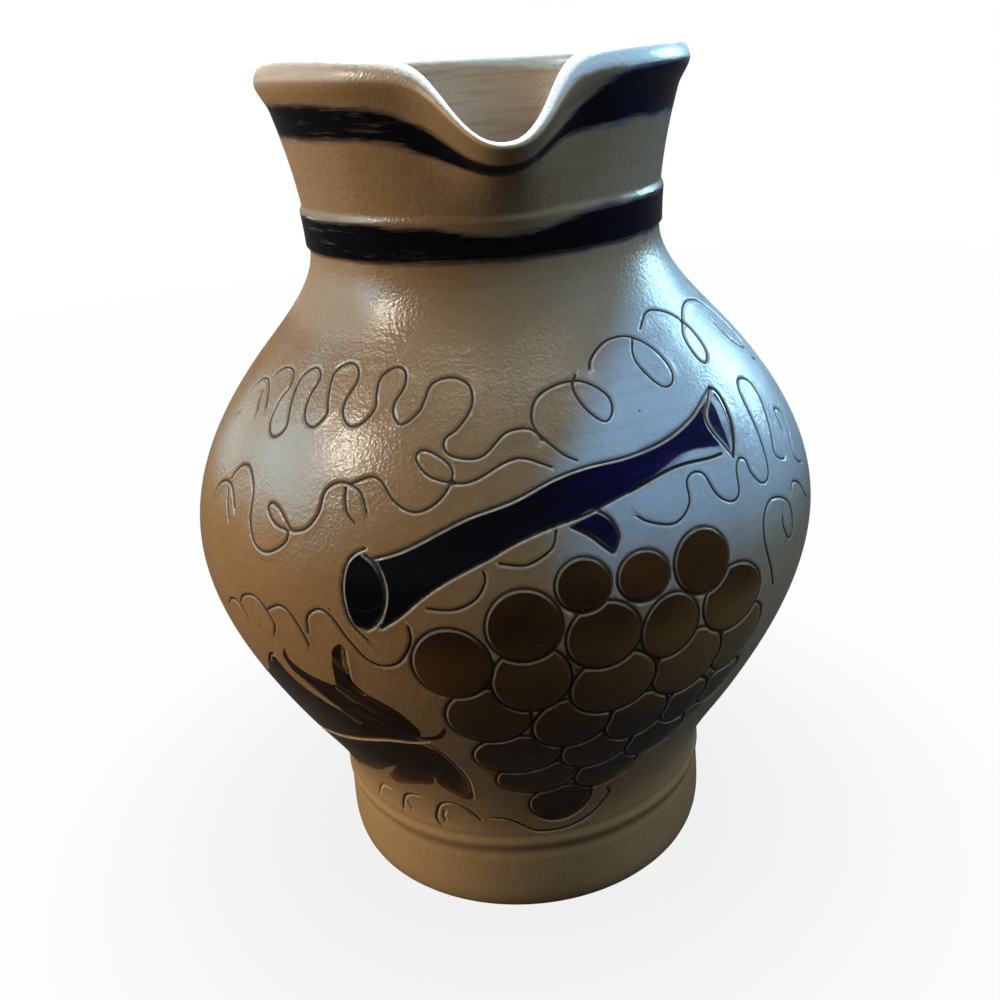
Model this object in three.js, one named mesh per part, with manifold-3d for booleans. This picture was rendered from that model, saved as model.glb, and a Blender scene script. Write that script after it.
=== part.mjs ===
// Salt-glazed stoneware jug: a wheel-thrown body with a pulled pouring lip, and a strap handle luted on behind it.
// Millimetres, +Z up. The origin is the centre of the flat base, the lip points along -Y, the handle along +Y.
import * as THREE from "three";
import { mergeVertices } from "three/addons/utils/BufferGeometryUtils.js";
import Module from "manifold-3d";

// Outline of the body: every knot has a radius, a rise above the knot below it and a slope (radius over height).
const footRadius = 59.4;
const footEdgeHeight = 8;
const footEdgeInset = 2.7;
const waistHeight = 27.5;
const waistRadius = 58.9;
const flankRise = 37.5;
const flankRadius = 76;
const flankSlope = 0.55;
const bellyRise = 49;
const bellyRadius = 92.7;
const shoulderRise = 53;
const shoulderRadius = 66.3;
const shoulderSlope = -0.93;
const neckRise = 27;
const neckRadius = 49.4;
const collarRise = 35;
const collarRadius = 55;
const collarSlope = 0.3;
const rimRise = 6.4;
const rimRadius = 58.1;
const rimSlope = 0.14;

// Turned details: the soft roll above the foot, the cove under it, and the flat cordon round the neck.
const footRollDrop = 2.7;
const footRollProud = 0.5;
const footRollReach = 1.7;
const footCoveDrop = 7;
const footCoveDepth = 0.35;
const footCoveReach = 2.4;
const cordonRise = 0.9;
const cordonHeight = 10.4;
const cordonProud = 0.9;
const cordonEdge = 1.1;

// Clay thickness: the wall, the rolled lip with its rounded crown, and the floor with its inside curve.
const wallThickness = 5.6;
const lipThickness = 7.4;
const lipRoll = 4.6;
const lipCrown = 4.6;
const floorThickness = 9;
const floorCurveRadius = 20;

// Pouring lip, pulled out and down by one finger between two others, which leaves a low ear on each side.
const spoutStartRise = 5;
const spoutPull = 13;
const spoutDip = 17.3;
const spoutHalfAngle = 13.3;
const spoutSquareness = 2.3;
const spoutEarLift = 2.2;
const spoutEarAngle = 62;
const spoutEarSpread = 38;

// Strap handle: it leaves the collar, arches over to its bow and comes down on the shoulder.
const handleTopDrop = 20;
const handleTopAngle = 32;
const handleTopArm = 43;
const fingerGap = 50;
const handleBowDrop = 33;
const handleBowArmUp = 33;
const handleBowArmDown = 25;
const handleFootRise = 28;
const handleFootAngle = 50;
const handleFootArm = 31;
const handleTopWidth = 30;
const handleWidth = 25;
const handleFootWidth = 22;
const handleTopThickness = 11.5;
const handleThickness = 9.5;
const handleSquareness = 0.75;
const handleGrooveDepth = 1.2;
const handleRootReach = 8;
const handleRootFlare = 0.4;
const handleRootDepth = 11;
const luteGap = 0.3;

// Facets
const bodySegments = 72;
const insideSteps = 15;
const lipCrowding = 0.42;
const rimArcSteps = 6;
const floorArcSteps = 5;
const strapSteps = 30;
const strapSides = 18;

// Heights of the knots, summed from the rises.
const flankHeight = waistHeight + flankRise;
const bellyHeight = flankHeight + bellyRise;
const shoulderHeight = bellyHeight + shoulderRise;
const neckHeight = shoulderHeight + neckRise;
const collarHeight = neckHeight + collarRise;
const rimHeight = collarHeight + rimRise;
const topHeight = rimHeight + lipCrown;

const outlineKnots = [
  { height: footEdgeHeight, radius: footRadius, slope: 0 },
  { height: waistHeight, radius: waistRadius, slope: 0 },
  { height: flankHeight, radius: flankRadius, slope: flankSlope },
  { height: bellyHeight, radius: bellyRadius, slope: 0 },
  { height: shoulderHeight, radius: shoulderRadius, slope: shoulderSlope },
  { height: neckHeight, radius: neckRadius, slope: 0 },
  { height: collarHeight, radius: collarRadius, slope: collarSlope },
  { height: rimHeight, radius: rimRadius, slope: rimSlope },
];

function smoothStep(from, to, value) {
  const t = THREE.MathUtils.clamp((value - from) / (to - from), 0, 1);
  return t * t * (3 - 2 * t);
}

function bell(offset, reach) {
  return Math.exp(-((offset / reach) ** 2));
}

// Cubic between two knots that keeps the radius and the slope of both.
function hermite(low, high, height) {
  const span = high.height - low.height;
  const t = (height - low.height) / span;
  const t2 = t * t;
  const t3 = t2 * t;
  return (
    (2 * t3 - 3 * t2 + 1) * low.radius +
    (t3 - 2 * t2 + t) * span * low.slope +
    (3 * t2 - 2 * t3) * high.radius +
    (t3 - t2) * span * high.slope
  );
}

// Radius of the thrown wall without its turned details.
function wallRadius(height) {
  if (height < footEdgeHeight) {
    const share = 1 - Math.max(height, 0) / footEdgeHeight;
    return footRadius - footEdgeInset * (1 - Math.sqrt(1 - share * share));
  }
  const last = outlineKnots.length - 2;
  let index = 0;
  while (index < last && height > outlineKnots[index + 1].height) {
    index += 1;
  }
  return hermite(outlineKnots[index], outlineKnots[index + 1], Math.min(height, rimHeight));
}

// Radius of the finished outside, with the foot's roll and cove and the neck's cordon.
function outerRadius(height) {
  const roll = footRollProud * bell(height - (waistHeight - footRollDrop), footRollReach);
  const cove = footCoveDepth * bell(height - (waistHeight - footCoveDrop), footCoveReach);
  const cordonBottom = neckHeight + cordonRise;
  const cordonTop = cordonBottom + cordonHeight;
  const lowerEdge = smoothStep(cordonBottom - cordonEdge / 2, cordonBottom + cordonEdge / 2, height);
  const upperEdge = smoothStep(cordonTop - cordonEdge, cordonTop + cordonEdge, height);
  return wallRadius(height) + roll - cove + cordonProud * lowerEdge * (1 - upperEdge);
}

// Heights at which the outside is turned: even steps between marks, closer where the outline has detail.
function outsideStations() {
  const cordonBottom = neckHeight + cordonRise;
  const cordonTop = cordonBottom + cordonHeight;
  const footRoll = waistHeight - footRollDrop;
  const runs = [
    [0, footEdgeHeight, 3],
    [footEdgeHeight, footRoll - 2 * footRollReach, 3],
    [footRoll - 2 * footRollReach, footRoll + 2 * footRollReach, 4],
    [footRoll + 2 * footRollReach, flankHeight, 4],
    [flankHeight, bellyHeight, 4],
    [bellyHeight, shoulderHeight, 6],
    [shoulderHeight, cordonBottom - cordonEdge / 2, 4],
    [cordonBottom - cordonEdge / 2, cordonBottom + cordonEdge / 2, 1],
    [cordonBottom + cordonEdge / 2, cordonTop - cordonEdge, 1],
    [cordonTop - cordonEdge, cordonTop + cordonEdge, 2],
    [cordonTop + cordonEdge, collarHeight, 4],
    [collarHeight, rimHeight, 3],
  ];
  const heights = [0];
  for (const [from, to, steps] of runs) {
    for (let step = 1; step <= steps; step += 1) {
      heights.push(from + ((to - from) * step) / steps);
    }
  }
  return heights;
}

// Point of the inside wall: the plain outline moved in by the wall's thickness, square to the surface.
function insidePoint(height) {
  const probe = wallThickness / 10;
  const slope = (wallRadius(height + probe) - wallRadius(height - probe)) / (2 * probe);
  const length = Math.hypot(1, slope);
  return new THREE.Vector2(
    wallRadius(height) - wallThickness / length,
    height + (wallThickness * slope) / length,
  );
}

// Closed section of the wall, from the middle of the base round the lip to the middle of the floor.
function bodySection() {
  const section = [new THREE.Vector2(0, 0)];
  for (const height of outsideStations()) {
    section.push(new THREE.Vector2(outerRadius(height), height));
  }
  const crest = outerRadius(rimHeight) - lipRoll;
  for (let step = 1; step <= rimArcSteps; step += 1) {
    const turn = (Math.PI * step) / rimArcSteps;
    const reach = turn < Math.PI / 2 ? lipRoll : lipThickness - lipRoll;
    section.push(new THREE.Vector2(crest + reach * Math.cos(turn), rimHeight + lipCrown * Math.sin(turn)));
  }
  const curveTop = floorThickness + floorCurveRadius;
  for (let step = 0; step < insideSteps; step += 1) {
    section.push(insidePoint(THREE.MathUtils.lerp(collarHeight, curveTop, step / insideSteps)));
  }
  const curveStart = insidePoint(curveTop);
  const curveCentre = curveStart.x - floorCurveRadius;
  for (let step = 0; step <= floorArcSteps; step += 1) {
    const turn = (Math.PI / 2) * (step / floorArcSteps);
    section.push(
      new THREE.Vector2(
        curveCentre + floorCurveRadius * Math.cos(turn),
        curveTop - floorCurveRadius * Math.sin(turn),
      ),
    );
  }
  section.push(new THREE.Vector2(0, floorThickness));
  return section;
}

// Moves a point of the turned body to where pulling the lip leaves it. The angle is counted from the lip.
function pullLip(point) {
  const radius = Math.hypot(point.x, point.y);
  const angle = THREE.MathUtils.radToDeg(Math.atan2(point.x, -point.y));
  const start = neckHeight + spoutStartRise;
  const climb = THREE.MathUtils.clamp((point.z - start) / (topHeight - start), 0, 1);
  const middle = Math.exp(-(Math.abs(angle / spoutHalfAngle) ** spoutSquareness));
  const ears = bell(Math.abs(angle) - spoutEarAngle, spoutEarSpread);
  const pulled = radius + spoutPull * middle * climb ** 1.4;
  const scale = radius > 0 ? pulled / radius : 1;
  point.x *= scale;
  point.y *= scale;
  point.z += (spoutEarLift * ears - spoutDip * middle) * climb ** 1.7;
}

// Crowds the turned segments towards the lip, where the rim bends most.
function crowdTowardsLip(point) {
  const radius = Math.hypot(point.x, point.y);
  const angle = Math.atan2(point.x, -point.y);
  const moved = angle - lipCrowding * Math.sin(angle);
  point.x = radius * Math.sin(moved);
  point.y = -radius * Math.cos(moved);
}

function turn(section, segments) {
  const geometry = new THREE.LatheGeometry(section, segments);
  geometry.rotateX(Math.PI / 2);
  return geometry;
}

function moveVertices(geometry, ...moves) {
  const positions = geometry.getAttribute("position");
  const point = new THREE.Vector3();
  for (let index = 0; index < positions.count; index += 1) {
    point.fromBufferAttribute(positions, index);
    moves.forEach((move) => move(point));
    positions.setXYZ(index, point.x, point.y, point.z);
  }
  geometry.computeVertexNormals();
  return geometry;
}

function makeBody() {
  return moveVertices(turn(bodySection(), bodySegments), crowdTowardsLip, pullLip);
}

// Middle line of the handle, in the plane behind the body: one curve from the collar to the bow, one to the shoulder.
function handleLine() {
  const behind = (y, z) => new THREE.Vector3(0, y, z);
  const topZ = topHeight - handleTopDrop;
  const top = behind(outerRadius(topZ), topZ);
  const bow = behind(neckRadius + fingerGap + handleThickness / 2, topZ - handleBowDrop);
  const footZ = bellyHeight + handleFootRise;
  const foot = behind(outerRadius(footZ), footZ);
  const topTurn = THREE.MathUtils.degToRad(handleTopAngle);
  const footTurn = THREE.MathUtils.degToRad(handleFootAngle);
  const topWay = behind(Math.cos(topTurn), Math.sin(topTurn));
  const footWay = behind(Math.cos(footTurn), Math.sin(footTurn));
  const line = new THREE.CurvePath();
  line.add(
    new THREE.CubicBezierCurve3(
      top.clone().addScaledVector(topWay, -handleRootDepth),
      top.clone().addScaledVector(topWay, handleTopArm - handleRootDepth),
      bow.clone().add(behind(0, handleBowArmUp)),
      bow,
    ),
  );
  line.add(
    new THREE.CubicBezierCurve3(
      bow,
      bow.clone().add(behind(0, -handleBowArmDown)),
      foot.clone().addScaledVector(footWay, handleFootArm - handleRootDepth),
      foot.clone().addScaledVector(footWay, -handleRootDepth),
    ),
  );
  return line;
}

// Width and thickness of the strap: broad and thick at the collar, slimmer along the pull.
function strapSize(share, flare) {
  const upper = smoothStep(0, 0.5, share);
  const lower = smoothStep(0.5, 1, share);
  const width = THREE.MathUtils.lerp(handleTopWidth, handleWidth, upper);
  return {
    width: THREE.MathUtils.lerp(width, handleFootWidth, lower) * flare,
    thickness: THREE.MathUtils.lerp(handleTopThickness, handleThickness, upper) * flare,
  };
}

// One ring of the strap: a flattened oval with a shallow groove drawn along its outer face.
function strapRing(centre, along, size) {
  const outward = new THREE.Vector3(0, -along.z, along.y);
  const ring = [];
  for (let side = 0; side < strapSides; side += 1) {
    const angle = (2 * Math.PI * side) / strapSides;
    const across = Math.cos(angle);
    const over = Math.sin(angle);
    const x = (-Math.sign(across) * Math.abs(across) ** handleSquareness * size.width) / 2;
    const swell = (Math.sign(over) * Math.abs(over) ** handleSquareness * size.thickness) / 2;
    const groove = over > 0 ? handleGrooveDepth * bell(across, 0.3) : 0;
    ring.push(new THREE.Vector3(x, 0, 0).addScaledVector(outward, swell - groove).add(centre));
  }
  return ring;
}

// Lofts rings into one closed body with a flat fan at each end.
function loft(rings) {
  const sides = rings[0].length;
  const vertices = rings.flat();
  const faces = [];
  for (let row = 0; row < rings.length - 1; row += 1) {
    for (let side = 0; side < sides; side += 1) {
      const next = (side + 1) % sides;
      const a = row * sides + side;
      const b = row * sides + next;
      const c = a + sides;
      const d = b + sides;
      faces.push(a, b, c, b, d, c);
    }
  }
  for (const [row, flip] of [[0, true], [rings.length - 1, false]]) {
    const centre = new THREE.Vector3();
    rings[row].forEach((point) => centre.addScaledVector(point, 1 / sides));
    const middle = vertices.push(centre) - 1;
    for (let side = 0; side < sides; side += 1) {
      const a = row * sides + side;
      const b = row * sides + ((side + 1) % sides);
      faces.push(...(flip ? [middle, b, a] : [middle, a, b]));
    }
  }
  const geometry = new THREE.BufferGeometry();
  geometry.setFromPoints(vertices);
  geometry.setIndex(faces);
  return geometry;
}

function makeStrap() {
  const line = handleLine();
  const length = line.getLength();
  const rings = [];
  for (let step = 0; step <= strapSteps; step += 1) {
    const share = step / strapSteps;
    const rootDistance = Math.max(Math.min(share, 1 - share) * length - handleRootDepth, 0);
    const flare = 1 + handleRootFlare * Math.exp(-rootDistance / handleRootReach);
    rings.push(strapRing(line.getPointAt(share), line.getTangentAt(share), strapSize(share, flare)));
  }
  return loft(rings);
}

const wasm = await Module();
wasm.setup();

function toSolid(geometry) {
  const bare = geometry.clone();
  bare.deleteAttribute("normal");
  bare.deleteAttribute("uv");
  const merged = mergeVertices(bare, 1e-4);
  return new wasm.Manifold(
    new wasm.Mesh({
      numProp: 3,
      vertProperties: new Float32Array(merged.getAttribute("position").array),
      triVerts: new Uint32Array(merged.getIndex().array),
    }),
  );
}

function toGeometry(solid) {
  const mesh = solid.getMesh();
  const geometry = new THREE.BufferGeometry();
  geometry.setAttribute("position", new THREE.BufferAttribute(mesh.vertProperties, 3));
  geometry.setIndex(new THREE.BufferAttribute(mesh.triVerts, 1));
  geometry.computeVertexNormals();
  return geometry;
}

// The handle's roots are cut to the body's outside, less the thin slip joint.
function makeHandle() {
  const filled = [new THREE.Vector2(0, 0)];
  for (const height of outsideStations()) {
    filled.push(new THREE.Vector2(outerRadius(height) + luteGap, height));
  }
  filled.push(new THREE.Vector2(0, rimHeight));
  const body = moveVertices(turn(filled, bodySegments), crowdTowardsLip);
  return toGeometry(toSolid(makeStrap()).subtract(toSolid(body)));
}

function piece(name, geometry, material) {
  const mesh = new THREE.Mesh(geometry, material);
  mesh.name = name;
  return mesh;
}

const bodyGlaze = new THREE.MeshStandardMaterial({ color: 0x9c8460, roughness: 0.38, metalness: 0 });
const handleGlaze = new THREE.MeshStandardMaterial({ color: 0x937a58, roughness: 0.38, metalness: 0 });

const jug = new THREE.Group();
jug.add(piece("thrown_body", makeBody(), bodyGlaze));
jug.add(piece("pulled_handle", makeHandle(), handleGlaze));

export default jug;
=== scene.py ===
import math

import bpy
import numpy as np
from mathutils import Matrix, Vector
from mathutils.geometry import delaunay_2d_cdt
from mathutils.kdtree import KDTree


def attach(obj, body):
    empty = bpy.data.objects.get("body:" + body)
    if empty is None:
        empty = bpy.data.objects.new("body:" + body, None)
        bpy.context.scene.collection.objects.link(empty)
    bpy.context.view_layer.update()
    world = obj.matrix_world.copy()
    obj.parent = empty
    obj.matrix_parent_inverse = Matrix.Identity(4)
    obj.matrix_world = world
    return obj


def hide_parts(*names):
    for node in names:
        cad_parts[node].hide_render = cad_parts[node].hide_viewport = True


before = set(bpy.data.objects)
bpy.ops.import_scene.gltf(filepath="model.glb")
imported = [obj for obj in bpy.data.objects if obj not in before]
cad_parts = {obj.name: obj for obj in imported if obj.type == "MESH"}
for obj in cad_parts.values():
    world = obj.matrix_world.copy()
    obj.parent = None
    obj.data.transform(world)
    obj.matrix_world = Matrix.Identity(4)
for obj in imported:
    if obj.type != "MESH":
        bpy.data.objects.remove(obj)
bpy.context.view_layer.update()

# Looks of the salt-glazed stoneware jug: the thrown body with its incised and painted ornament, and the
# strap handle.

MM = 0.001

# Outline of the body in millimetres: height, radius, slope.
FOOT_EDGE, FOOT_RADIUS, FOOT_INSET = 8, 59.4, 2.7
KNOTS = (
    (FOOT_EDGE, FOOT_RADIUS, 0),
    (27.5, 58.9, 0),
    (65, 76, 0.55),
    (114, 92.7, 0),
    (167, 66.3, -0.93),
    (194, 49.4, 0),
    (229, 55, 0.3),
    (235.4, 58.1, 0.14),
)
RIM, COLLAR = 235.4, 229
LIP, LIP_ROLL, LIP_CROWN = 7.4, 4.6, 4.6
TOP = RIM + LIP_CROWN
WALL, FLOOR, FLOOR_CURVE = 5.6, 9, 20
ROLL_HEIGHT, ROLL_PROUD, ROLL_REACH = 25, 0.65, 1.5
COVE_HEIGHT, COVE_DEPTH, COVE_REACH = 21.6, 0.55, 1.6
CORDON_LOW, CORDON_HIGH, CORDON_PROUD, CORDON_EDGE = 194.9, 205.3, 0.9, 1.1
SPOUT_START, SPOUT_PULL, SPOUT_DIP, SPOUT_ANGLE = 199, 13, 17.3, 13.3
# How squarely the notch is cut, and how late in the climb it moves outwards and down
SPOUT_ROUNDNESS, SPOUT_PULL_EASE, SPOUT_DIP_EASE = 2.3, 1.4, 1.7
EAR_LIFT, EAR_ANGLE, EAR_SPREAD = 2.2, 62, 38
# Hand-made unevenness: the lip leans a little to one side and the rim stands higher there.
SPOUT_LEAN, RIM_TILT = 1.5, 1.1

# Mesh of the body: plain rings below and above the ornamented belt. Each row is low, high, steps.
COLUMNS = 240
ORNAMENT_LOW, ORNAMENT_HIGH = 27.6, 184
BASE_RINGS, FLOOR_RINGS = (18, 34, 46, 53), (26.0, 18.0, 9.0)
FOOT_ROWS = ((10.5, 18, 4), (18.8, ORNAMENT_LOW, 13))
FOOT_ARC_STEPS, CROWN_STEPS, INSIDE_STEPS, FLOOR_ARC_STEPS = 7, 17, 44, 10
NECK_ROWS = (
    (ORNAMENT_HIGH, 194, 5), (194, 195.8, 5), (195.8, 203.6, 7), (203.6, 207, 6), (207, 217, 6),
    (217, 233, 20), (233, RIM, 3),
)
RING_ROWS_OUTSIDE = sum(steps for _, _, steps in NECK_ROWS)
CHART_STEPS = 4000
# Mesh of the belt: steps of the field and along a line, and rows beside each cut line and painted edge
FIELD_STEP, STROKE_STEP = 2.7, 1.15
STROKE_ROWS = (0.34, -0.34, 0.7, -0.7, 1.2, -1.2, 1.95, -1.95)
EDGE_ROWS = (0, 0.55, -0.55, 1.3, -1.3)
# How close points may come to each other: on a cut, in its near rows, further out in units of the offset,
# in an edge's near rows, further out, and in the plain field
CUT_GAP, NEAR_CUT_GAP, OFF_CUT_GAP = 0.2, 0.27, 0.4
NEAR_EDGE_GAP, OFF_EDGE_GAP, FIELD_GAP = 0.4, 0.8, 1.5
WALL_PER_HEIGHT = 1.12
BORDER_MARGIN = 0.6 / 60
SAME_POINT, LEAST_STEP, TINY = 1e-7, 1e-9, 1e-12
# Distance beyond which a point counts as far from every cut and painted edge
FAR = 9.0

# Incised line: depth and half width of the cut, and the burr that the tool throws up at its lower right
CUT_DEPTH, CUT_REACH = 0.42, 0.36
BURR_HEIGHT, BURR_PLACE, BURR_REACH = 0.12, 0.76, 0.27
BURR_RIGHT, BURR_DOWN = 0.6, 0.8
BURR_SIDE = (-0.35, 0.6)
BURR_CLOSEST = 0.05
# Grapes swell a little under their thick glaze, and all relief fades out at the belt's lower border.
GRAPE_SWELL, GRAPE_SWELL_REACH = 0.3, 2.6
RELIEF_FADE = 1.2


def smooth_step(low, high, value):
    t = np.clip((value - low) / (high - low), 0, 1)
    return t * t * (3 - 2 * t)


def bell(offset, reach):
    return np.exp(-((offset / reach) ** 2))


def wall_radius(height):
    height = np.asarray(height, float)
    share = 1 - np.clip(height, 0, FOOT_EDGE) / FOOT_EDGE
    radius = FOOT_RADIUS - FOOT_INSET * (1 - np.sqrt(1 - share**2))
    for (low, low_r, low_s), (high, high_r, high_s) in zip(KNOTS, KNOTS[1:]):
        span = high - low
        t = (height - low) / span
        cubic = (2 * t**3 - 3 * t**2 + 1) * low_r + (t**3 - 2 * t**2 + t) * span * low_s
        cubic = cubic + (3 * t**2 - 2 * t**3) * high_r + (t**3 - t**2) * span * high_s
        radius = np.where((t >= 0) & (t <= 1), cubic, radius)
    return radius


def outer_radius(height):
    height = np.asarray(height, float)
    roll = ROLL_PROUD * bell(height - ROLL_HEIGHT, ROLL_REACH)
    cove = COVE_DEPTH * bell(height - COVE_HEIGHT, COVE_REACH)
    lower = smooth_step(CORDON_LOW - CORDON_EDGE / 2, CORDON_LOW + CORDON_EDGE / 2, height)
    upper = smooth_step(CORDON_HIGH - CORDON_EDGE, CORDON_HIGH + CORDON_EDGE, height)
    return wall_radius(height) + roll - cove + CORDON_PROUD * lower * (1 - upper)


def slope_at(height, outline=outer_radius, probe=0.05):
    return (outline(height + probe) - outline(height - probe)) / (2 * probe)


def running_sum(steps):
    return np.concatenate([[0], np.cumsum(steps)])


def read_at(marks, along, line):
    """The line's points at these marks, where along holds the mark of each of its own points."""
    return np.stack([np.interp(marks, along, column) for column in line.T], -1)


def sideways(along):
    """Unit vectors square to these directions."""
    along = along / np.maximum(np.hypot(*along.T), TINY)[:, None]
    return np.stack([-along[:, 1], along[:, 0]], -1)


def pull_lip(angle, radius, height):
    """Where pulling the lip leaves a point of the turned body. The angle counts from the lip, in radians."""
    climb = np.clip((height - SPOUT_START) / (TOP - SPOUT_START), 0, 1)
    degrees = np.degrees(angle) + SPOUT_LEAN * climb**2
    middle = np.exp(-(np.abs(degrees / SPOUT_ANGLE) ** SPOUT_ROUNDNESS))
    ears = bell(np.abs(degrees) - EAR_ANGLE, EAR_SPREAD)
    pulled = radius + SPOUT_PULL * middle * climb**SPOUT_PULL_EASE
    tilt = RIM_TILT * np.sin(angle)
    return pulled, height + (EAR_LIFT * ears - tilt - SPOUT_DIP * middle) * climb**SPOUT_DIP_EASE


def place(angle, radius, height):
    """Points in millimetres at these angles from the lip."""
    return np.stack([radius * np.sin(angle), -radius * np.cos(angle), height], -1)


# The ornament is drawn on a flat chart that keeps angles: x is the angle in radians, y the climb along the
# wall over the radius. Heights turn into y and back by this table of the outline itself.
CHART_HEIGHTS = np.linspace(0, RIM, CHART_STEPS + 1)
CHART_RATE = np.hypot(1, slope_at(CHART_HEIGHTS)) / outer_radius(CHART_HEIGHTS)
CHART_CLIMB = running_sum((CHART_RATE[1:] + CHART_RATE[:-1]) / 2 * np.diff(CHART_HEIGHTS))


def climb_of(height):
    return np.interp(height, CHART_HEIGHTS, CHART_CLIMB)


def height_of(climb):
    return np.interp(climb, CHART_CLIMB, CHART_HEIGHTS)


def radius_of(chart):
    return outer_radius(height_of(chart[:, 1]))


def surface(chart):
    """The chart's points on the smooth wall, in millimetres."""
    height = height_of(chart[:, 1])
    return place(chart[:, 0], outer_radius(height), height)


# Strokes cut with a loop tool. Each point is (degrees from the lip, height in millimetres), given where the
# line turns. The whole ornament sits turned by a fraction of a degree.
ORNAMENT_TURN = 0.4

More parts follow.
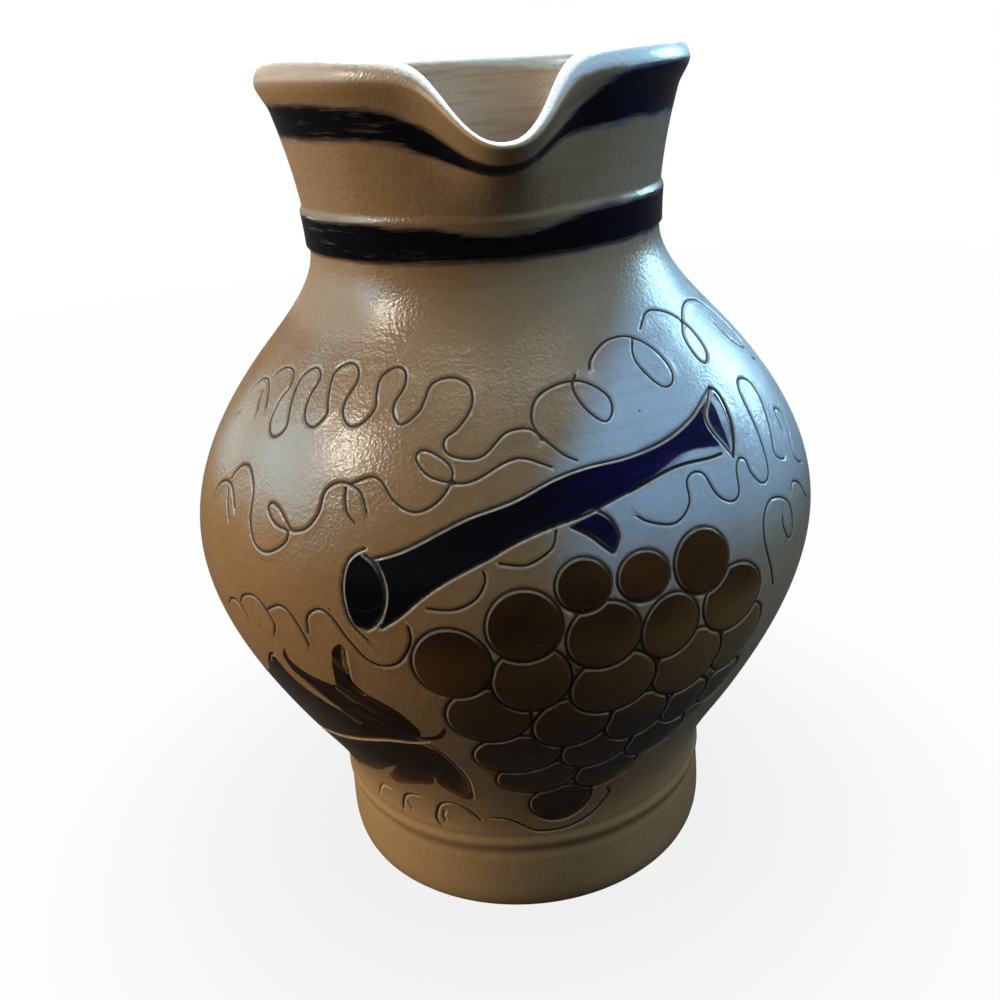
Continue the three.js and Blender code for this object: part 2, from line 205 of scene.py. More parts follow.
TENDRILS = (
    # Upper left meander, from the stem outwards
    ((6, 151.6), (4, 153), (2, 155.3), (-1.2, 158.9), (-3.5, 159.2), (-6, 158.6), (-10.5, 154.3),
     (-14, 154.2), (-16.8, 155.5), (-17.2, 157.9), (-14.6, 160.2), (-12, 164.7), (-12.7, 168.4),
     (-16.4, 170), (-20.7, 168.8), (-22, 165.2), (-22.7, 163.4), (-26.1, 160.7), (-28, 162.7),
     (-28.3, 164.7), (-26.8, 168.4), (-27.5, 171.3), (-29.5, 172), (-32.9, 170), (-32.9, 166.1),
     (-32.3, 163.8), (-34.6, 160.4), (-37, 159.7), (-39.6, 162), (-40, 164.7), (-38.8, 169), (-40, 171.3),
     (-42.1, 172.1), (-45, 171.1), (-46.2, 169.4), (-44.6, 163.9), (-43.5, 161.4), (-45.8, 158.4),
     (-48.75, 159.4), (-50.4, 163.9), (-49.8, 168.1), (-50.8, 169.4), (-53.1, 170), (-56.25, 167.5),
     (-55, 161.7), (-53.3, 157.2), (-54.2, 155.3), (-56.25, 154.3), (-59, 156.7), (-59.6, 162.2),
     (-58.5, 165), (-60.4, 168), (-62.9, 168.4), (-65.8, 167.8), (-67.9, 166.1)),
    ((-75.8, 156.1), (-76, 158.9), (-73.3, 163.6), (-70, 164.3), (-67.1, 163.1), (-65, 161.4),
     (-63.3, 159.2)),
    ((-69.2, 162.2), (-67.9, 160), (-66.25, 157.8)),
    # Loop above the left half of the stem
    ((1.4, 151.1), (-3.6, 153.5), (-6.4, 152.9), (-12.1, 149.6), (-15, 149.3), (-20, 151.1), (-22.3, 154.7),
     (-21.4, 155.8), (-19.6, 155.6), (-15.9, 152.7), (-15.5, 150.6), (-17.5, 146.1), (-21.4, 143.4),
     (-25.2, 145.4), (-28.2, 149.5), (-30, 150.2), (-33.6, 148.4)),
    ((-30, 142.9), (-31.8, 147), (-35.7, 148.5), (-38.6, 146.3), (-39.1, 141.5), (-41.1, 137.5),
     (-44.3, 136.3), (-44.8, 136.9), (-48.3, 140.6), (-50.4, 140.9), (-50.8, 139.9), (-49.6, 137.8),
     (-47.5, 136.4), (-45, 135.8), (-45, 133.6), (-48.75, 129.7), (-50.8, 129.4), (-52.9, 130.6),
     (-55, 135.6), (-56, 141.7), (-58.75, 145.8), (-60.8, 146.6), (-62.9, 145.6), (-65.2, 141.7)),
    ((-34.6, 147.5), (-34.3, 144.7), (-33.4, 142), (-32, 140.4)),
    ((-71, 133.9), (-70.2, 137.2), (-68.75, 139.4), (-66.25, 140.8), (-63.75, 140.3), (-62.1, 138.3),
     (-60.8, 136.1)),
    ((-65, 139.4), (-63.75, 136.1), (-62, 132.8)),
    # Wave left of the stem's lower mouth
    ((-22.7, 117.3), (-22.5, 113.9), (-25, 107), (-27.7, 105.4), (-30, 106.4), (-33, 112), (-35.7, 117.6),
     (-37.8, 118.9), (-40.3, 116.1), (-40.7, 111.1)),
    ((-41.2, 107), (-41.8, 110.1), (-44.3, 115.8), (-46.3, 116.7), (-49.8, 113.9)),
    ((-49.2, 107), (-48.5, 110.1), (-51, 115.1), (-53.3, 116.3), (-57, 113.9), (-57.8, 111.4),
     (-56.7, 107.6)),
    ((-64, 107.5), (-62.5, 109.8), (-60.5, 111.2), (-58.5, 110.6), (-57, 108.3)),
    # Curls between the stem and the grapes
    ((-11, 130.7), (-10.7, 129.1), (-12.1, 124.75), (-15, 122.2), (-17.1, 121.9), (-19.7, 122.3)),
    ((0.5, 138.1), (-0.3, 134.75), (-2.9, 132.25), (-4.7, 131.4), (-8.5, 132.25)),
    # Wave right of the twig
    ((13.9, 138.1), (15.3, 136.5), (20.3, 134.4), (23.7, 137.5), (24.7, 142.5), (26.6, 143.6),
     (28.4, 142.7), (29.5, 137.9), (30.8, 135.6), (32.9, 134.2), (34.7, 135.2), (36.3, 140.6),
     (38.2, 142.4), (39.5, 141.3), (39.5, 138.4), (41.3, 134.7), (43.2, 134.4), (44.7, 136.1),
     (46.8, 144.3), (48.2, 152), (49.2, 154.7), (51.3, 156.5), (53.4, 156.3), (55.3, 155), (55.5, 151),
     (51.8, 143.4), (49.2, 138.4), (50.3, 136.5), (52.4, 135.4)),
    ((57, 141), (58.4, 145.6), (60.3, 145.4), (61.8, 143.4), (60.5, 140), (58, 136), (57.1, 133.8),
     (58.7, 131.1), (61, 129.6)),
    # Three loops above the right half of the stem
    ((0.5, 156.5), (-0.8, 160.6), (0.8, 164.7), (5.5, 166.8), (10.8, 166.8), (15, 163.8), (15.7, 161.8),
     (15, 159.5), (13.2, 158.1), (10, 161.5), (8.8, 166.1), (10.3, 168.2)),
    ((13.9, 168.9), (14.7, 170.4), (20.3, 173.5), (27.1, 173.4), (31.8, 170), (33.2, 165.2), (32.4, 162.9),
     (30.3, 161.7), (28.4, 162.2), (25.7, 167), (25.8, 169.7), (28.1, 172.9)),
    ((32.1, 174.3), (36.6, 176.9), (39.7, 177.1), (46.1, 174.5), (48.9, 170.2), (47.9, 165.2),
     (46.1, 163.6), (44.2, 163.1), (43, 164.7), (43.9, 169.5), (46.1, 171.3), (52.9, 174.7), (59.2, 175.2),
     (67, 173), (71, 168), (71.5, 163), (69.2, 159.3), (66.1, 160.6), (62.9, 164.7), (63.2, 168)),
    ((67.6, 156.5), (70.3, 155.2)),
    # Hook right of the grapes
    ((41.6, 106), (40.3, 111.6), (38.5, 120.4), (39.2, 126.3), (41.9, 129.6), (45, 129), (48.2, 126),
     (48.9, 123.4), (48.2, 117), (46.9, 116.3), (45, 121), (45.2, 123.8)),
    ((50.5, 127.5), (52, 129), (54.5, 127.7), (56.1, 125.6), (57.6, 122.5), (59.7, 119.7)),
    # Ground line under the last grape, and the waves along the foot
    ((-16.4, 35.3), (-14.5, 35.3), (-11.4, 34), (-5.5, 29.6), (-0.5, 28.9), (4.1, 29.2), (8.6, 30.6),
     (12.3, 33), (15.9, 39.8), (15.2, 41.4)),
    ((-58.3, 30.1), (-57.3, 32), (-55.3, 35.1), (-52.7, 37.6), (-49.7, 37.9)),
    ((-47, 30.1), (-46.7, 32), (-45.3, 35.1), (-43.3, 38.25), (-40.7, 40.1), (-38.2, 40.75)),
    ((-43.3, 32), (-44, 34.5)),
    ((-33.7, 29.2), (-34.7, 30.4), (-34.3, 33.25), (-31.7, 38.9), (-29.3, 40.75), (-27, 41), (-24, 39),
     (-20.7, 34.2)),
    ((-31.8, 31.4), (-32, 33.9), (-31.2, 35.4)),
)

STEM_TOP = (
    (-28.6, 132.9), (-23.6, 135.3), (-16.4, 140.4), (-12.9, 142.5), (-5.7, 145.3), (1.4, 148.8),
    (7.1, 150.2), (15, 150.6), (23.4, 151.9), (31.3, 154.5), (36.6, 157), (40.5, 158.5),
)
STEM_BOTTOM = (
    (-27, 116.5), (-24.3, 119.4), (-20, 125.2), (-16.4, 128.8), (-9.3, 134), (-6.4, 136.1), (-1.1, 138.6),
    (5, 140.4), (13.4, 143.4), (21.3, 145.6), (25, 145.9), (31.8, 145.1), (34.5, 145),
)
LOWER_MOUTH_LEFT = (
    (-29.6, 135.2), (-31.4, 133.8), (-32.7, 131.5), (-33.4, 126.1), (-32.9, 120), (-32.1, 116.7),
    (-29.6, 112.6),
)
LOWER_MOUTH_RIGHT = (
    (-29.6, 133.8), (-28.2, 132.5), (-27, 130.2), (-26.1, 125.6), (-26.8, 120), (-28.3, 116.7),
    (-29.4, 115.6),
)
UPPER_MOUTH_RIGHT = (
    (40.5, 158.5), (41.6, 157.5), (41.8, 154.7), (40.3, 149.3), (37.4, 144.3), (36.6, 143.1),
)
UPPER_MOUTH_LEFT = (
    (40.5, 158.4), (38.2, 156.5), (35.8, 154.7), (34.5, 152.9), (34.5, 150.2), (35.3, 147.5), (36.6, 143.8),
)
TWIG_LEFT = ((2.9, 138.4), (4.5, 137), (6.1, 135.2), (7.6, 132.9), (8.8, 131.3))
TWIG_RIGHT = ((7.6, 141.1), (9.2, 139.3), (10, 137), (10.3, 134.7), (9.7, 132.9), (9.1, 131.5))

# Grapes as ovals: centre, half width in degrees, half height in millimetres, lean in degrees. Earlier ones
# lie in front.
GRAPES = (
    (3.6, 125.4, 4.4, 6.6, 6), (13.2, 124.6, 4.5, 6.4, 0), (23.8, 123.8, 5.5, 8.4, 0),
    (30.2, 110.2, 6.9, 9.6, -14), (-5.6, 116.9, 5.8, 9.6, 0), (6.3, 111.4, 6, 9.5, 0),
    (17.4, 109.3, 5.2, 9.4, -6), (-16.8, 106.8, 6.2, 10.6, 0), (-5, 101, 6.2, 10.9, 0),
    (8.2, 95.5, 7.3, 10.4, 0), (22, 94.8, 7, 10.8, 0), (33.6, 95, 6.1, 10.4, -14),
    (-12.4, 88.5, 7.1, 10.6, 0), (1.6, 83, 6.9, 10.2, 0), (14, 79.6, 6.2, 9.5, 0),
    (24.6, 78.6, 5.2, 8.2, 0), (33.4, 79.4, 4.8, 7.6, -20), (-8.3, 71, 8.5, 9.3, 0), (7.4, 69, 7.3, 9.4, 0),
    (21, 66.6, 7, 9.4, 0), (-4.6, 57.5, 9, 9.2, 0), (11.8, 55, 7.7, 9.3, 0), (1.7, 42, 8.5, 9.1, 0),
)
# Brown wash that runs between the lower grapes
GRAPE_WASH = (
    (-15, 99), (-10, 106), (-3, 109), (3, 108), (12, 108), (21, 106), (30, 103), (38, 95), (37, 78),
    (29, 67), (19, 54), (9, 46), (-2, 46), (-10, 55), (-15, 66), (-15, 82),
)

# Vine leaf in two halves on either side of its middle rib.
LEAF_UPPER = (
    (-26.6, 76.9), (-25.5, 79.5), (-25.2, 82.5), (-27, 88.3), (-29, 91), (-33.3, 96), (-34.9, 101),
    (-34.9, 107.5), (-34.3, 110.4), (-35.6, 109.3), (-36.8, 106.5), (-37.7, 99), (-38.4, 95.2), (-40, 95),
    (-43, 96), (-46, 97.6), (-47.7, 99.7), (-47.6, 103.5), (-48.9, 100.5), (-48.9, 97.5), (-47.8, 94.5),
    (-45.5, 92), (-42.6, 88.2), (-40.3, 84.2), (-42, 84.6), (-45, 86.8), (-48, 89.5), (-50, 92),
    (-51.5, 95), (-53, 98), (-56, 94), (-58, 90), (-60.5, 86.5), (-63, 85), (-66.5, 86), (-64.6, 80),
    (-64.3, 75.5), (-66, 71), (-70, 67.8), (-76, 66.5), (-72, 62), (-68.5, 57.5), (-62, 60.3), (-56, 64.7),
    (-48, 68.2), (-40, 72.2), (-33, 75.6),
)
LEAF_LOWER = (
    (-26.8, 75.6), (-25.3, 74.6), (-23.5, 72.5), (-22.3, 69), (-20.8, 61), (-20.6, 57), (-20.9, 52),
    (-21.5, 44.7), (-23, 44.8), (-25, 46.5), (-27, 49.5), (-28.1, 52.8), (-27.6, 57.5), (-29.5, 52),
    (-30.5, 51.2), (-33, 50), (-36, 48.5), (-39, 47), (-43.5, 44.8), (-44, 47), (-42.6, 50.5),
    (-39.5, 54.5), (-36.5, 59.5), (-41, 55.2), (-44.5, 51.8), (-47, 49.4), (-50, 47.5), (-54, 46),
    (-58, 44), (-64.5, 39.8), (-65.5, 43.5), (-66.5, 46.5), (-70, 45.5), (-77, 44), (-74.5, 49),
    (-70, 54.6), (-62, 58.7), (-56, 63.3), (-48, 66.8), (-40, 70.8), (-33, 74.3),
)
LEAF_RIB = (
    (-24.5, 77.3), (-27, 76.3), (-33, 75), (-40, 71.5), (-48, 67.5), (-56, 64), (-62, 59.5), (-70, 54),
)
LEAF_STALK = ((-26.4, 78.3), (-24.9, 78.6), (-22.5, 79.6), (-21, 81.6), (-20.2, 84.6))
LEAF_LINES = (
    ((-24.6, 75.9), (-22.9, 73), (-21.6, 69), (-20.1, 61), (-19.9, 57), (-20.3, 51), (-20.9, 45.5)),
    ((-33, 94.2), (-34.6, 98), (-34.4, 103), (-34.1, 108.5)),
    ((-54.8, 94.6), (-53.9, 97), (-52.2, 98.6)),
    ((-45.8, 90.7), (-43, 87.3), (-40.2, 84.3), (-37.5, 80.5)),
    ((-38.2, 94.4), (-36.8, 92.4), (-35.3, 90.2)),
)


def to_chart(points):
    points = np.asarray(points, float)
    return np.stack([np.radians(points[:, 0] + ORNAMENT_TURN), climb_of(points[:, 1])], -1)


def between(t, low, high, start, end):
    return (high - t) / (high - low) * start + (t - low) / (high - low) * end


def smooth_line(points, closed=False, parts=8):
    """Centripetal Catmull-Rom curve through chart points."""
    p = np.asarray(points, float)
    if closed:
        p = np.concatenate([p[-1:], p, p[:2]])
    else:
        p = np.concatenate([2 * p[:1] - p[1:2], p, 2 * p[-1:] - p[-2:-1]])
    out = []
    for a, b, c, d in zip(p, p[1:], p[2:], p[3:]):
        knots = [0]
        for near, far in ((a, b), (b, c), (c, d)):
            knots.append(knots[-1] + np.sqrt(np.hypot(*(far - near))) + LEAST_STEP)
        t0, t1, t2, t3 = knots
        t = np.linspace(t1, t2, parts, endpoint=False)[:, None]
        ab, bc, cd = between(t, t0, t1, a, b), between(t, t1, t2, b, c), between(t, t2, t3, c, d)
        out.append(between(t, t1, t2, between(t, t0, t2, ab, bc), between(t, t1, t3, bc, cd)))
    if not closed:
        out.append(p[-2][None])
    return np.concatenate(out)


def resample(line, step, closed=False):
    """The same curve with points about one step apart on the wall, in millimetres."""
    if closed:
        line = np.concatenate([line, line[:1]])
    lengths = np.hypot(*np.diff(line, axis=0).T) * radius_of((line[1:] + line[:-1]) / 2)
    along = running_sum(lengths)
    count = max(int(round(along[-1] / step)), 2)
    marks = np.linspace(0, along[-1], count + 1)
    return read_at(marks[:-1] if closed else marks, along, line)


def oval(grape, steps):
    angle, height, half_width, half_height, lean = grape
    centre = to_chart([(angle, height)])[0]
    radius = float(outer_radius(height))
    wide = math.radians(half_width)
    tall = half_height * math.hypot(1, float(slope_at(height))) / radius
    turn = np.linspace(0, 2 * np.pi, steps, endpoint=False)
    x, y = wide * np.cos(turn), tall * np.sin(turn)
    c, s = math.cos(math.radians(lean)), math.sin(math.radians(lean))
    return centre + np.stack([x * c - y * s, x * s + y * c], -1)


def inside(points, polygon):
    """Which chart points lie inside a closed chart polygon."""
    x, y = points[:, 0][:, None], points[:, 1][:, None]
    a, b = polygon, np.roll(polygon, -1, axis=0)
    crosses = (a[:, 1] > y) != (b[:, 1] > y)
    with np.errstate(divide="ignore", invalid="ignore"):
        at = a[:, 0] + (y - a[:, 1]) * (b[:, 0] - a[:, 0]) / (b[:, 1] - a[:, 1])
    return (crosses & (x < at)).sum(1) % 2 == 1


def strip_hidden(ring, covers):
    """The stretches of a closed ring that no earlier oval covers."""
    hidden = np.zeros(len(ring), bool)
    for cover in covers:
        hidden |= inside(ring, cover)
    if not hidden.any():
        return [(ring, True)]
    if hidden.all():
        return []
    start = int(np.argmax(hidden))
    ring, hidden = np.roll(ring, -start, axis=0), np.roll(hidden, -start)
    runs = [[]]
    for point, is_hidden in zip(ring, hidden):
        if is_hidden:
            runs.append([])
        else:
            runs[-1].append(point)
    return [(np.array(run), False) for run in runs if len(run) > SHORTEST_RUN]


# A cut line's kind sets the dark of its pooled glaze and painted shade, its burr's painted highlight, and its
# width.
TENDRIL, OUTLINE, GRAPE, VEIN, FAINT, BOLD = range(6)
KIND_POOL_AND_SHADE = np.array([0.95, 0.9, 0.75, 0.35, 0.5, 1.0])
KIND_BURR_HIGHLIGHT = np.array([0.3, 0.85, 0.52, 0.7, 0.75, 0.8])
KIND_WIDTH = np.array([1, 1, 1, 1, 1, 1.45])
FAINT_BELOW = 38
SHORTEST_RUN, AREA_PARTS, NEIGHBOURS = 2, 4, 3
GRAPE_CUT_STEPS, GRAPE_EDGE_STEPS = 160, 120
# The stem's lower line is cut bolder from this point on.
BOLD_FROM = 8

# Brush strokes run along the middle of the stem and fan out from the leaf's heart. The flow field holds
# their direction: long along a stroke, fine across it, with values of their own for the stem and the leaf.
STEM_MIDDLE = (
    (-29, 124), (-20, 131.5), (-10, 138.7), (0, 143.3), (10, 146.6), (20, 148.3), (30, 149.5), (40, 152),
)
LEAF_HEART = (-21, 77)
STROKE_STRETCH, STROKE_FINENESS = 0.07, 0.9
TURNED_RADIUS = 60
FLOW_BORDER = -2.5
STEM_FLOW, LEAF_FLOW = 40, 90.0
LEAF_GIRTH, LEAF_FAN = 80, 26


def stroke(points):
    return resample(smooth_line(to_chart(points)), STROKE_STEP)


def cut_lines():
    """Every cut line, as (chart points, closed, kind)."""
    lines = []

    def draw(kind, *strokes):
        lines.extend((stroke(points), False, kind) for points in strokes)

    for tendril in TENDRILS:
        low = max(height for _, height in tendril) < FAINT_BELOW
        draw(FAINT if low else TENDRIL, tendril)
    draw(OUTLINE, STEM_TOP, STEM_BOTTOM[:BOLD_FROM + 1], LOWER_MOUTH_LEFT, LOWER_MOUTH_RIGHT)
    draw(OUTLINE, UPPER_MOUTH_LEFT, TWIG_LEFT, TWIG_RIGHT)
    draw(BOLD, STEM_BOTTOM[BOLD_FROM:], UPPER_MOUTH_RIGHT)
    covers = []
    for grape in GRAPES:
        fine = oval(grape, GRAPE_CUT_STEPS)
        for run, closed in strip_hidden(fine, covers):
            lines.append((resample(run, STROKE_STEP, closed), closed, GRAPE))
        covers.append(fine)
    draw(VEIN, *LEAF_LINES, LEAF_RIB)
    return lines


def ribbon(line, closed, offset):
    """The chart points that lie a few tenths of a millimetre beside a line."""
    ahead = np.roll(line, -1, axis=0)
    behind = np.roll(line, 1, axis=0)
    if not closed:
        ahead[-1], behind[0] = line[-1], line[0]
    return line + sideways(ahead - behind) * (offset / radius_of(line))[:, None]


def area(*parts):
    """A painted area as a closed chart polygon."""
    points = [point for part in parts for point in part]
    return resample(smooth_line(to_chart(points), True, AREA_PARTS), STROKE_STEP, True)


STEM_PAINT_LOW = (
    (34.9, 146.6), (31.8, 147.3), (28.7, 147.9), (25, 147.8), (21.3, 146.4), (17.6, 144.9), (13.4, 143.4),
)
STEM_PAINT = area(
    STEM_TOP[:-1], ((38.2, 156.5), (35.8, 154.7), (34.5, 152.9), (34.4, 150.2)), STEM_PAINT_LOW,
    STEM_BOTTOM[BOLD_FROM - 1::-1], LOWER_MOUTH_RIGHT[-2:0:-1],
)
LOWER_MOUTH_PAINT = area(LOWER_MOUTH_LEFT[1:-1], LOWER_MOUTH_RIGHT[::-1])
UPPER_MOUTH_PAINT = area((
    (37.9, 156.4), (38.6, 154.8), (38.2, 152.4), (37.7, 149.8), (37.3, 147.2), (36.8, 144.6), (35.9, 147),
    (35, 149.8), (35, 152.4), (36.2, 154.8),
))
UPPER_MOUTH_SHADE = area((
    (41, 157.8), (41.7, 156), (41.8, 154.3), (41, 151), (39.9, 148), (37.2, 143.8), (38.2, 146.5),
    (39.5, 149.8), (40.2, 152.5), (40.4, 155), (40.1, 157),
))
TWIG_PAINT = area(((5, 140.6), (7.4, 141.2)), TWIG_RIGHT[1:], TWIG_LEFT[::-1])
LEAF_PAINT = (area(LEAF_UPPER), area(LEAF_LOWER))


def stroke_area(points, half_width, tip=0.04, fullness=0.6):
    """Outline of a brush stroke that tapers to both ends."""
    line = stroke(points)
    share = np.linspace(0, 1, len(line))
    width = half_width * np.sin(np.pi * np.clip(share, tip, 1 - tip)) ** fullness
    across = sideways(np.gradient(line, axis=0)) * (width / radius_of(line))[:, None]
    return np.concatenate([line + across, (line - across)[::-1]])


STALK_HALF_WIDTH = 0.9
COBALT_AREAS = (STEM_PAINT, LOWER_MOUTH_PAINT, UPPER_MOUTH_PAINT, UPPER_MOUTH_SHADE, TWIG_PAINT)
BROWN_AREAS = LEAF_PAINT + (stroke_area(LEAF_STALK, STALK_HALF_WIDTH),)
WASH_AREAS = (area(GRAPE_WASH),)

# Neck bands, brushed on the turning jug: degrees from the lip and height where each edge runs
LOWER_BAND_TOP = (
    (-180, 204.6), (-40, 204.6), (-30, 204), (-20, 203), (-10, 201.6), (0, 200.6), (10, 201.6), (20, 203.5),
    (30, 204.5), (180, 204.6),
)
LOWER_BAND_BOTTOM = ((-180, 194.9), (0, 194.2), (180, 194.9))
UPPER_BAND_TOP = (
    (-180, 231), (-50, 231), (-30, 230.1), (-20, 227.2), (-14, 225.9), (0, 225.9), (14, 227), (20, 229.2),
    (25, 232.2), (32, 234.6), (45, 235.4), (70, 235), (110, 232), (180, 231.3),
)
UPPER_BAND_BOTTOM = (
    (-180, 224), (-50, 222.9), (-30, 222.6), (-20, 220), (-14, 219.5), (0, 220.8), (8, 223), (14, 223.4),
    (20, 222.6), (45, 223.5), (180, 224),
)
BAND_SOFTNESS = 2.5


def band_edge(knots, degrees):
    angle, height = np.transpose(knots)
    return sum(np.interp(degrees + shift, angle, height) for shift in (-BAND_SOFTNESS, 0, BAND_SOFTNESS)) / 3


def in_band(top, bottom, degrees, heights):
    """Distance inside a painted band in millimetres, negative outside it."""
    return np.minimum(band_edge(top, degrees) - heights, heights - band_edge(bottom, degrees))


def thin_out(points, limits):
    """Keeps points in order, dropping each one that lies closer than its limit to one already kept."""
    tree = KDTree(len(points))
    for index, point in enumerate(points):
        tree.insert(point, index)
    tree.balance()
    kept = np.ones(len(points), bool)
    for index, point in enumerate(points):
        for _, other, _ in tree.find_range(point, limits[index]):
            if other < index and kept[other]:
                kept[index] = False
                break
    return kept


def ornament_chart():
    """Triangles of the belt: a plain field with closer rows along every cut line and painted edge."""
    lines = cut_lines()
    rows, limits, constraints, count = [], [], [], 0

    def lay(points, gap):
        rows.append(points)
        limits.append(np.full(len(points), gap))

    for line, closed, _ in lines:
        lay(line, CUT_GAP)
        pairs = np.stack([np.arange(len(line)), np.arange(1, len(line) + 1)], -1)
        pairs[-1, 1] = 0
        constraints.append(count + (pairs if closed else pairs[:-1]))
        count += len(line)
    for offset in STROKE_ROWS:
        gap = NEAR_CUT_GAP if abs(offset) < 1 else OFF_CUT_GAP * abs(offset)
        for line, closed, _ in lines:
            lay(ribbon(line, closed, offset), gap)
    for offset in EDGE_ROWS:
        gap = NEAR_EDGE_GAP if abs(offset) < 1 else OFF_EDGE_GAP
        for polygon in COBALT_AREAS + BROWN_AREAS:
            lay(ribbon(polygon, True, offset), gap)
    low, high = climb_of(ORNAMENT_LOW), climb_of(ORNAMENT_HIGH)
    field_rows = int(round((ORNAMENT_HIGH - ORNAMENT_LOW) * WALL_PER_HEIGHT / FIELD_STEP))
    heights = climb_of(np.linspace(ORNAMENT_LOW, ORNAMENT_HIGH, field_rows + 1))
    half_step = np.pi / COLUMNS
    for index, climb in enumerate(heights[1:-1]):
        shift = half_step if index % 2 else 0
        angles = -np.pi + shift + 2 * np.pi * np.arange(1, COLUMNS) / COLUMNS
        lay(np.stack([angles, np.full(len(angles), climb)], -1), FIELD_GAP)
    points = np.concatenate(rows)
    limit = np.concatenate(limits)
    free = (points[:, 1] > low + BORDER_MARGIN) & (points[:, 1] < high - BORDER_MARGIN)
    free &= np.abs(points[:, 0]) < np.pi - BORDER_MARGIN
    kept = np.zeros(len(points), bool)
    kept[free] = thin_out(surface(points[free]).tolist(), limit[free].tolist())
    # The belt's border: the columns of the plain rings above and below it, and the seam behind.
    ring = -np.pi + 2 * np.pi * np.arange(COLUMNS + 1) / COLUMNS
    seam = heights[1:-1]
    border = np.concatenate([
        np.stack([ring, np.full(COLUMNS + 1, low)], -1),
        np.stack([ring, np.full(COLUMNS + 1, high)], -1),
        np.stack([np.full(len(seam), -np.pi), seam], -1),
        np.stack([np.full(len(seam), np.pi), seam], -1),
    ])
    number = np.full(len(points), -1)
    number[kept] = len(border) + np.arange(kept.sum())
    pairs = number[np.concatenate(constraints)]
    pairs = pairs[(pairs >= 0).all(1)]
    flat = np.concatenate([border, points[kept]])
    result = delaunay_2d_cdt([Vector(p) for p in flat.tolist()], pairs.tolist(), [], 0, SAME_POINT)
    chart = np.array([tuple(v) for v in result[0]])
    origin = np.array([sources[0] if sources else -1 for sources in result[3]])
    return chart, np.array(result[2]), origin, len(seam), lines


def near_line(lines, points):
    """Each point's distance to the nearest of the chart lines, that line's kind, and the way from it."""
    starts, ends, kinds = [], [], []
    for line, closed, kind in lines:
        start = surface(line)
        end = np.roll(start, -1, axis=0)
        if not closed:
            start, end = start[:-1], end[:-1]
        starts.append(start)
        ends.append(end)
        kinds.append(np.full(len(start), kind))
    starts, ends, kinds = (np.concatenate(parts) for parts in (starts, ends, kinds))
    tree = KDTree(2 * len(starts))
    for index, (a, b) in enumerate(zip(starts.tolist(), ends.tolist())):
        tree.insert(a, index)
        tree.insert([(u + v) / 2 for u, v in zip(a, b)], index)
    tree.balance()
    near = np.array([[hit[1] for hit in tree.find_n(p, NEIGHBOURS)] for p in points.tolist()])
    best = np.full(len(points), np.inf)
    best_kind = np.zeros(len(points), int)
    offset = np.zeros((len(points), 3))
    for column in near.T:
        a, b = starts[column], ends[column]
        way = b - a
        t = np.clip(((points - a) * way).sum(1) / np.maximum((way**2).sum(1), TINY), 0, 1)
        away = points - a - way * t[:, None]
        distance = np.linalg.norm(away, axis=1)
        closer = distance < best
        best = np.where(closer, distance, best)
        best_kind = np.where(closer, kinds[column], best_kind)
        offset = np.where(closer[:, None], away, offset)
    return best, best_kind, offset


def signed_distance(chart, points, polygons):
    """Distance to the border of the painted areas, positive inside them."""
    distance, _, _ = near_line([(polygon, True, 0) for polygon in polygons], points)
    within = np.zeros(len(chart), bool)
    for polygon in polygons:
        within |= inside(chart, polygon)
    return np.where(within, distance, -distance)


def burr_share(angle, offset, distance):
    """The leaning tool pushes its burr up on the lower right of a line, the lit side, where the painted
    highlight goes too: 1 there, 0 on the other side.
    """
    rightward = offset[:, 0] * np.cos(angle) + offset[:, 1] * np.sin(angle)
    side = (BURR_RIGHT * rightward - BURR_DOWN * offset[:, 2]) / np.maximum(distance, BURR_CLOSEST)
    return smooth_step(*BURR_SIDE, side)


def cut_relief(distance, burr):
    """Height of the surface beside a cut line: the groove and the burr beside it."""
    raised = BURR_HEIGHT * burr * bell(distance - BURR_PLACE, BURR_REACH)
    return raised - CUT_DEPTH * bell(distance, CUT_REACH)


def turned_flow(angle, height):
    """Brush direction where the jug turned under the brush: long round it, fine across it."""
    reach = TURNED_RADIUS * STROKE_STRETCH
    return np.stack([reach * np.sin(angle), reach * np.cos(angle), height * STROKE_FINENESS], -1)


def painted_flow(chart, cobalt, leaf):
    """Brush direction of the ornament: along the stem, out from the leaf's heart, and level on the grapes."""
    height = height_of(chart[:, 1])
    flow = turned_flow(chart[:, 0], height)
    middle = to_chart(STEM_MIDDLE)
    across = height - height_of(np.interp(chart[:, 0], middle[:, 0], middle[:, 1]))
    on_stem = cobalt > FLOW_BORDER
    flow[on_stem, 2] = STEM_FLOW + across[on_stem] * STROKE_FINENESS
    heart = surface(to_chart([LEAF_HEART]))[0]
    away = np.stack([(chart[:, 0] - math.atan2(heart[0], -heart[1])) * LEAF_GIRTH, height - heart[2]], -1)
    turn = np.arctan2(away[:, 1], -away[:, 0])
    fan = np.stack([np.hypot(*away.T) * STROKE_STRETCH, np.full(len(chart), LEAF_FLOW), turn * LEAF_FAN], -1)
    on_leaf = (leaf > FLOW_BORDER) & (chart[:, 0] < 0)
    return np.where(on_leaf[:, None], fan, flow)


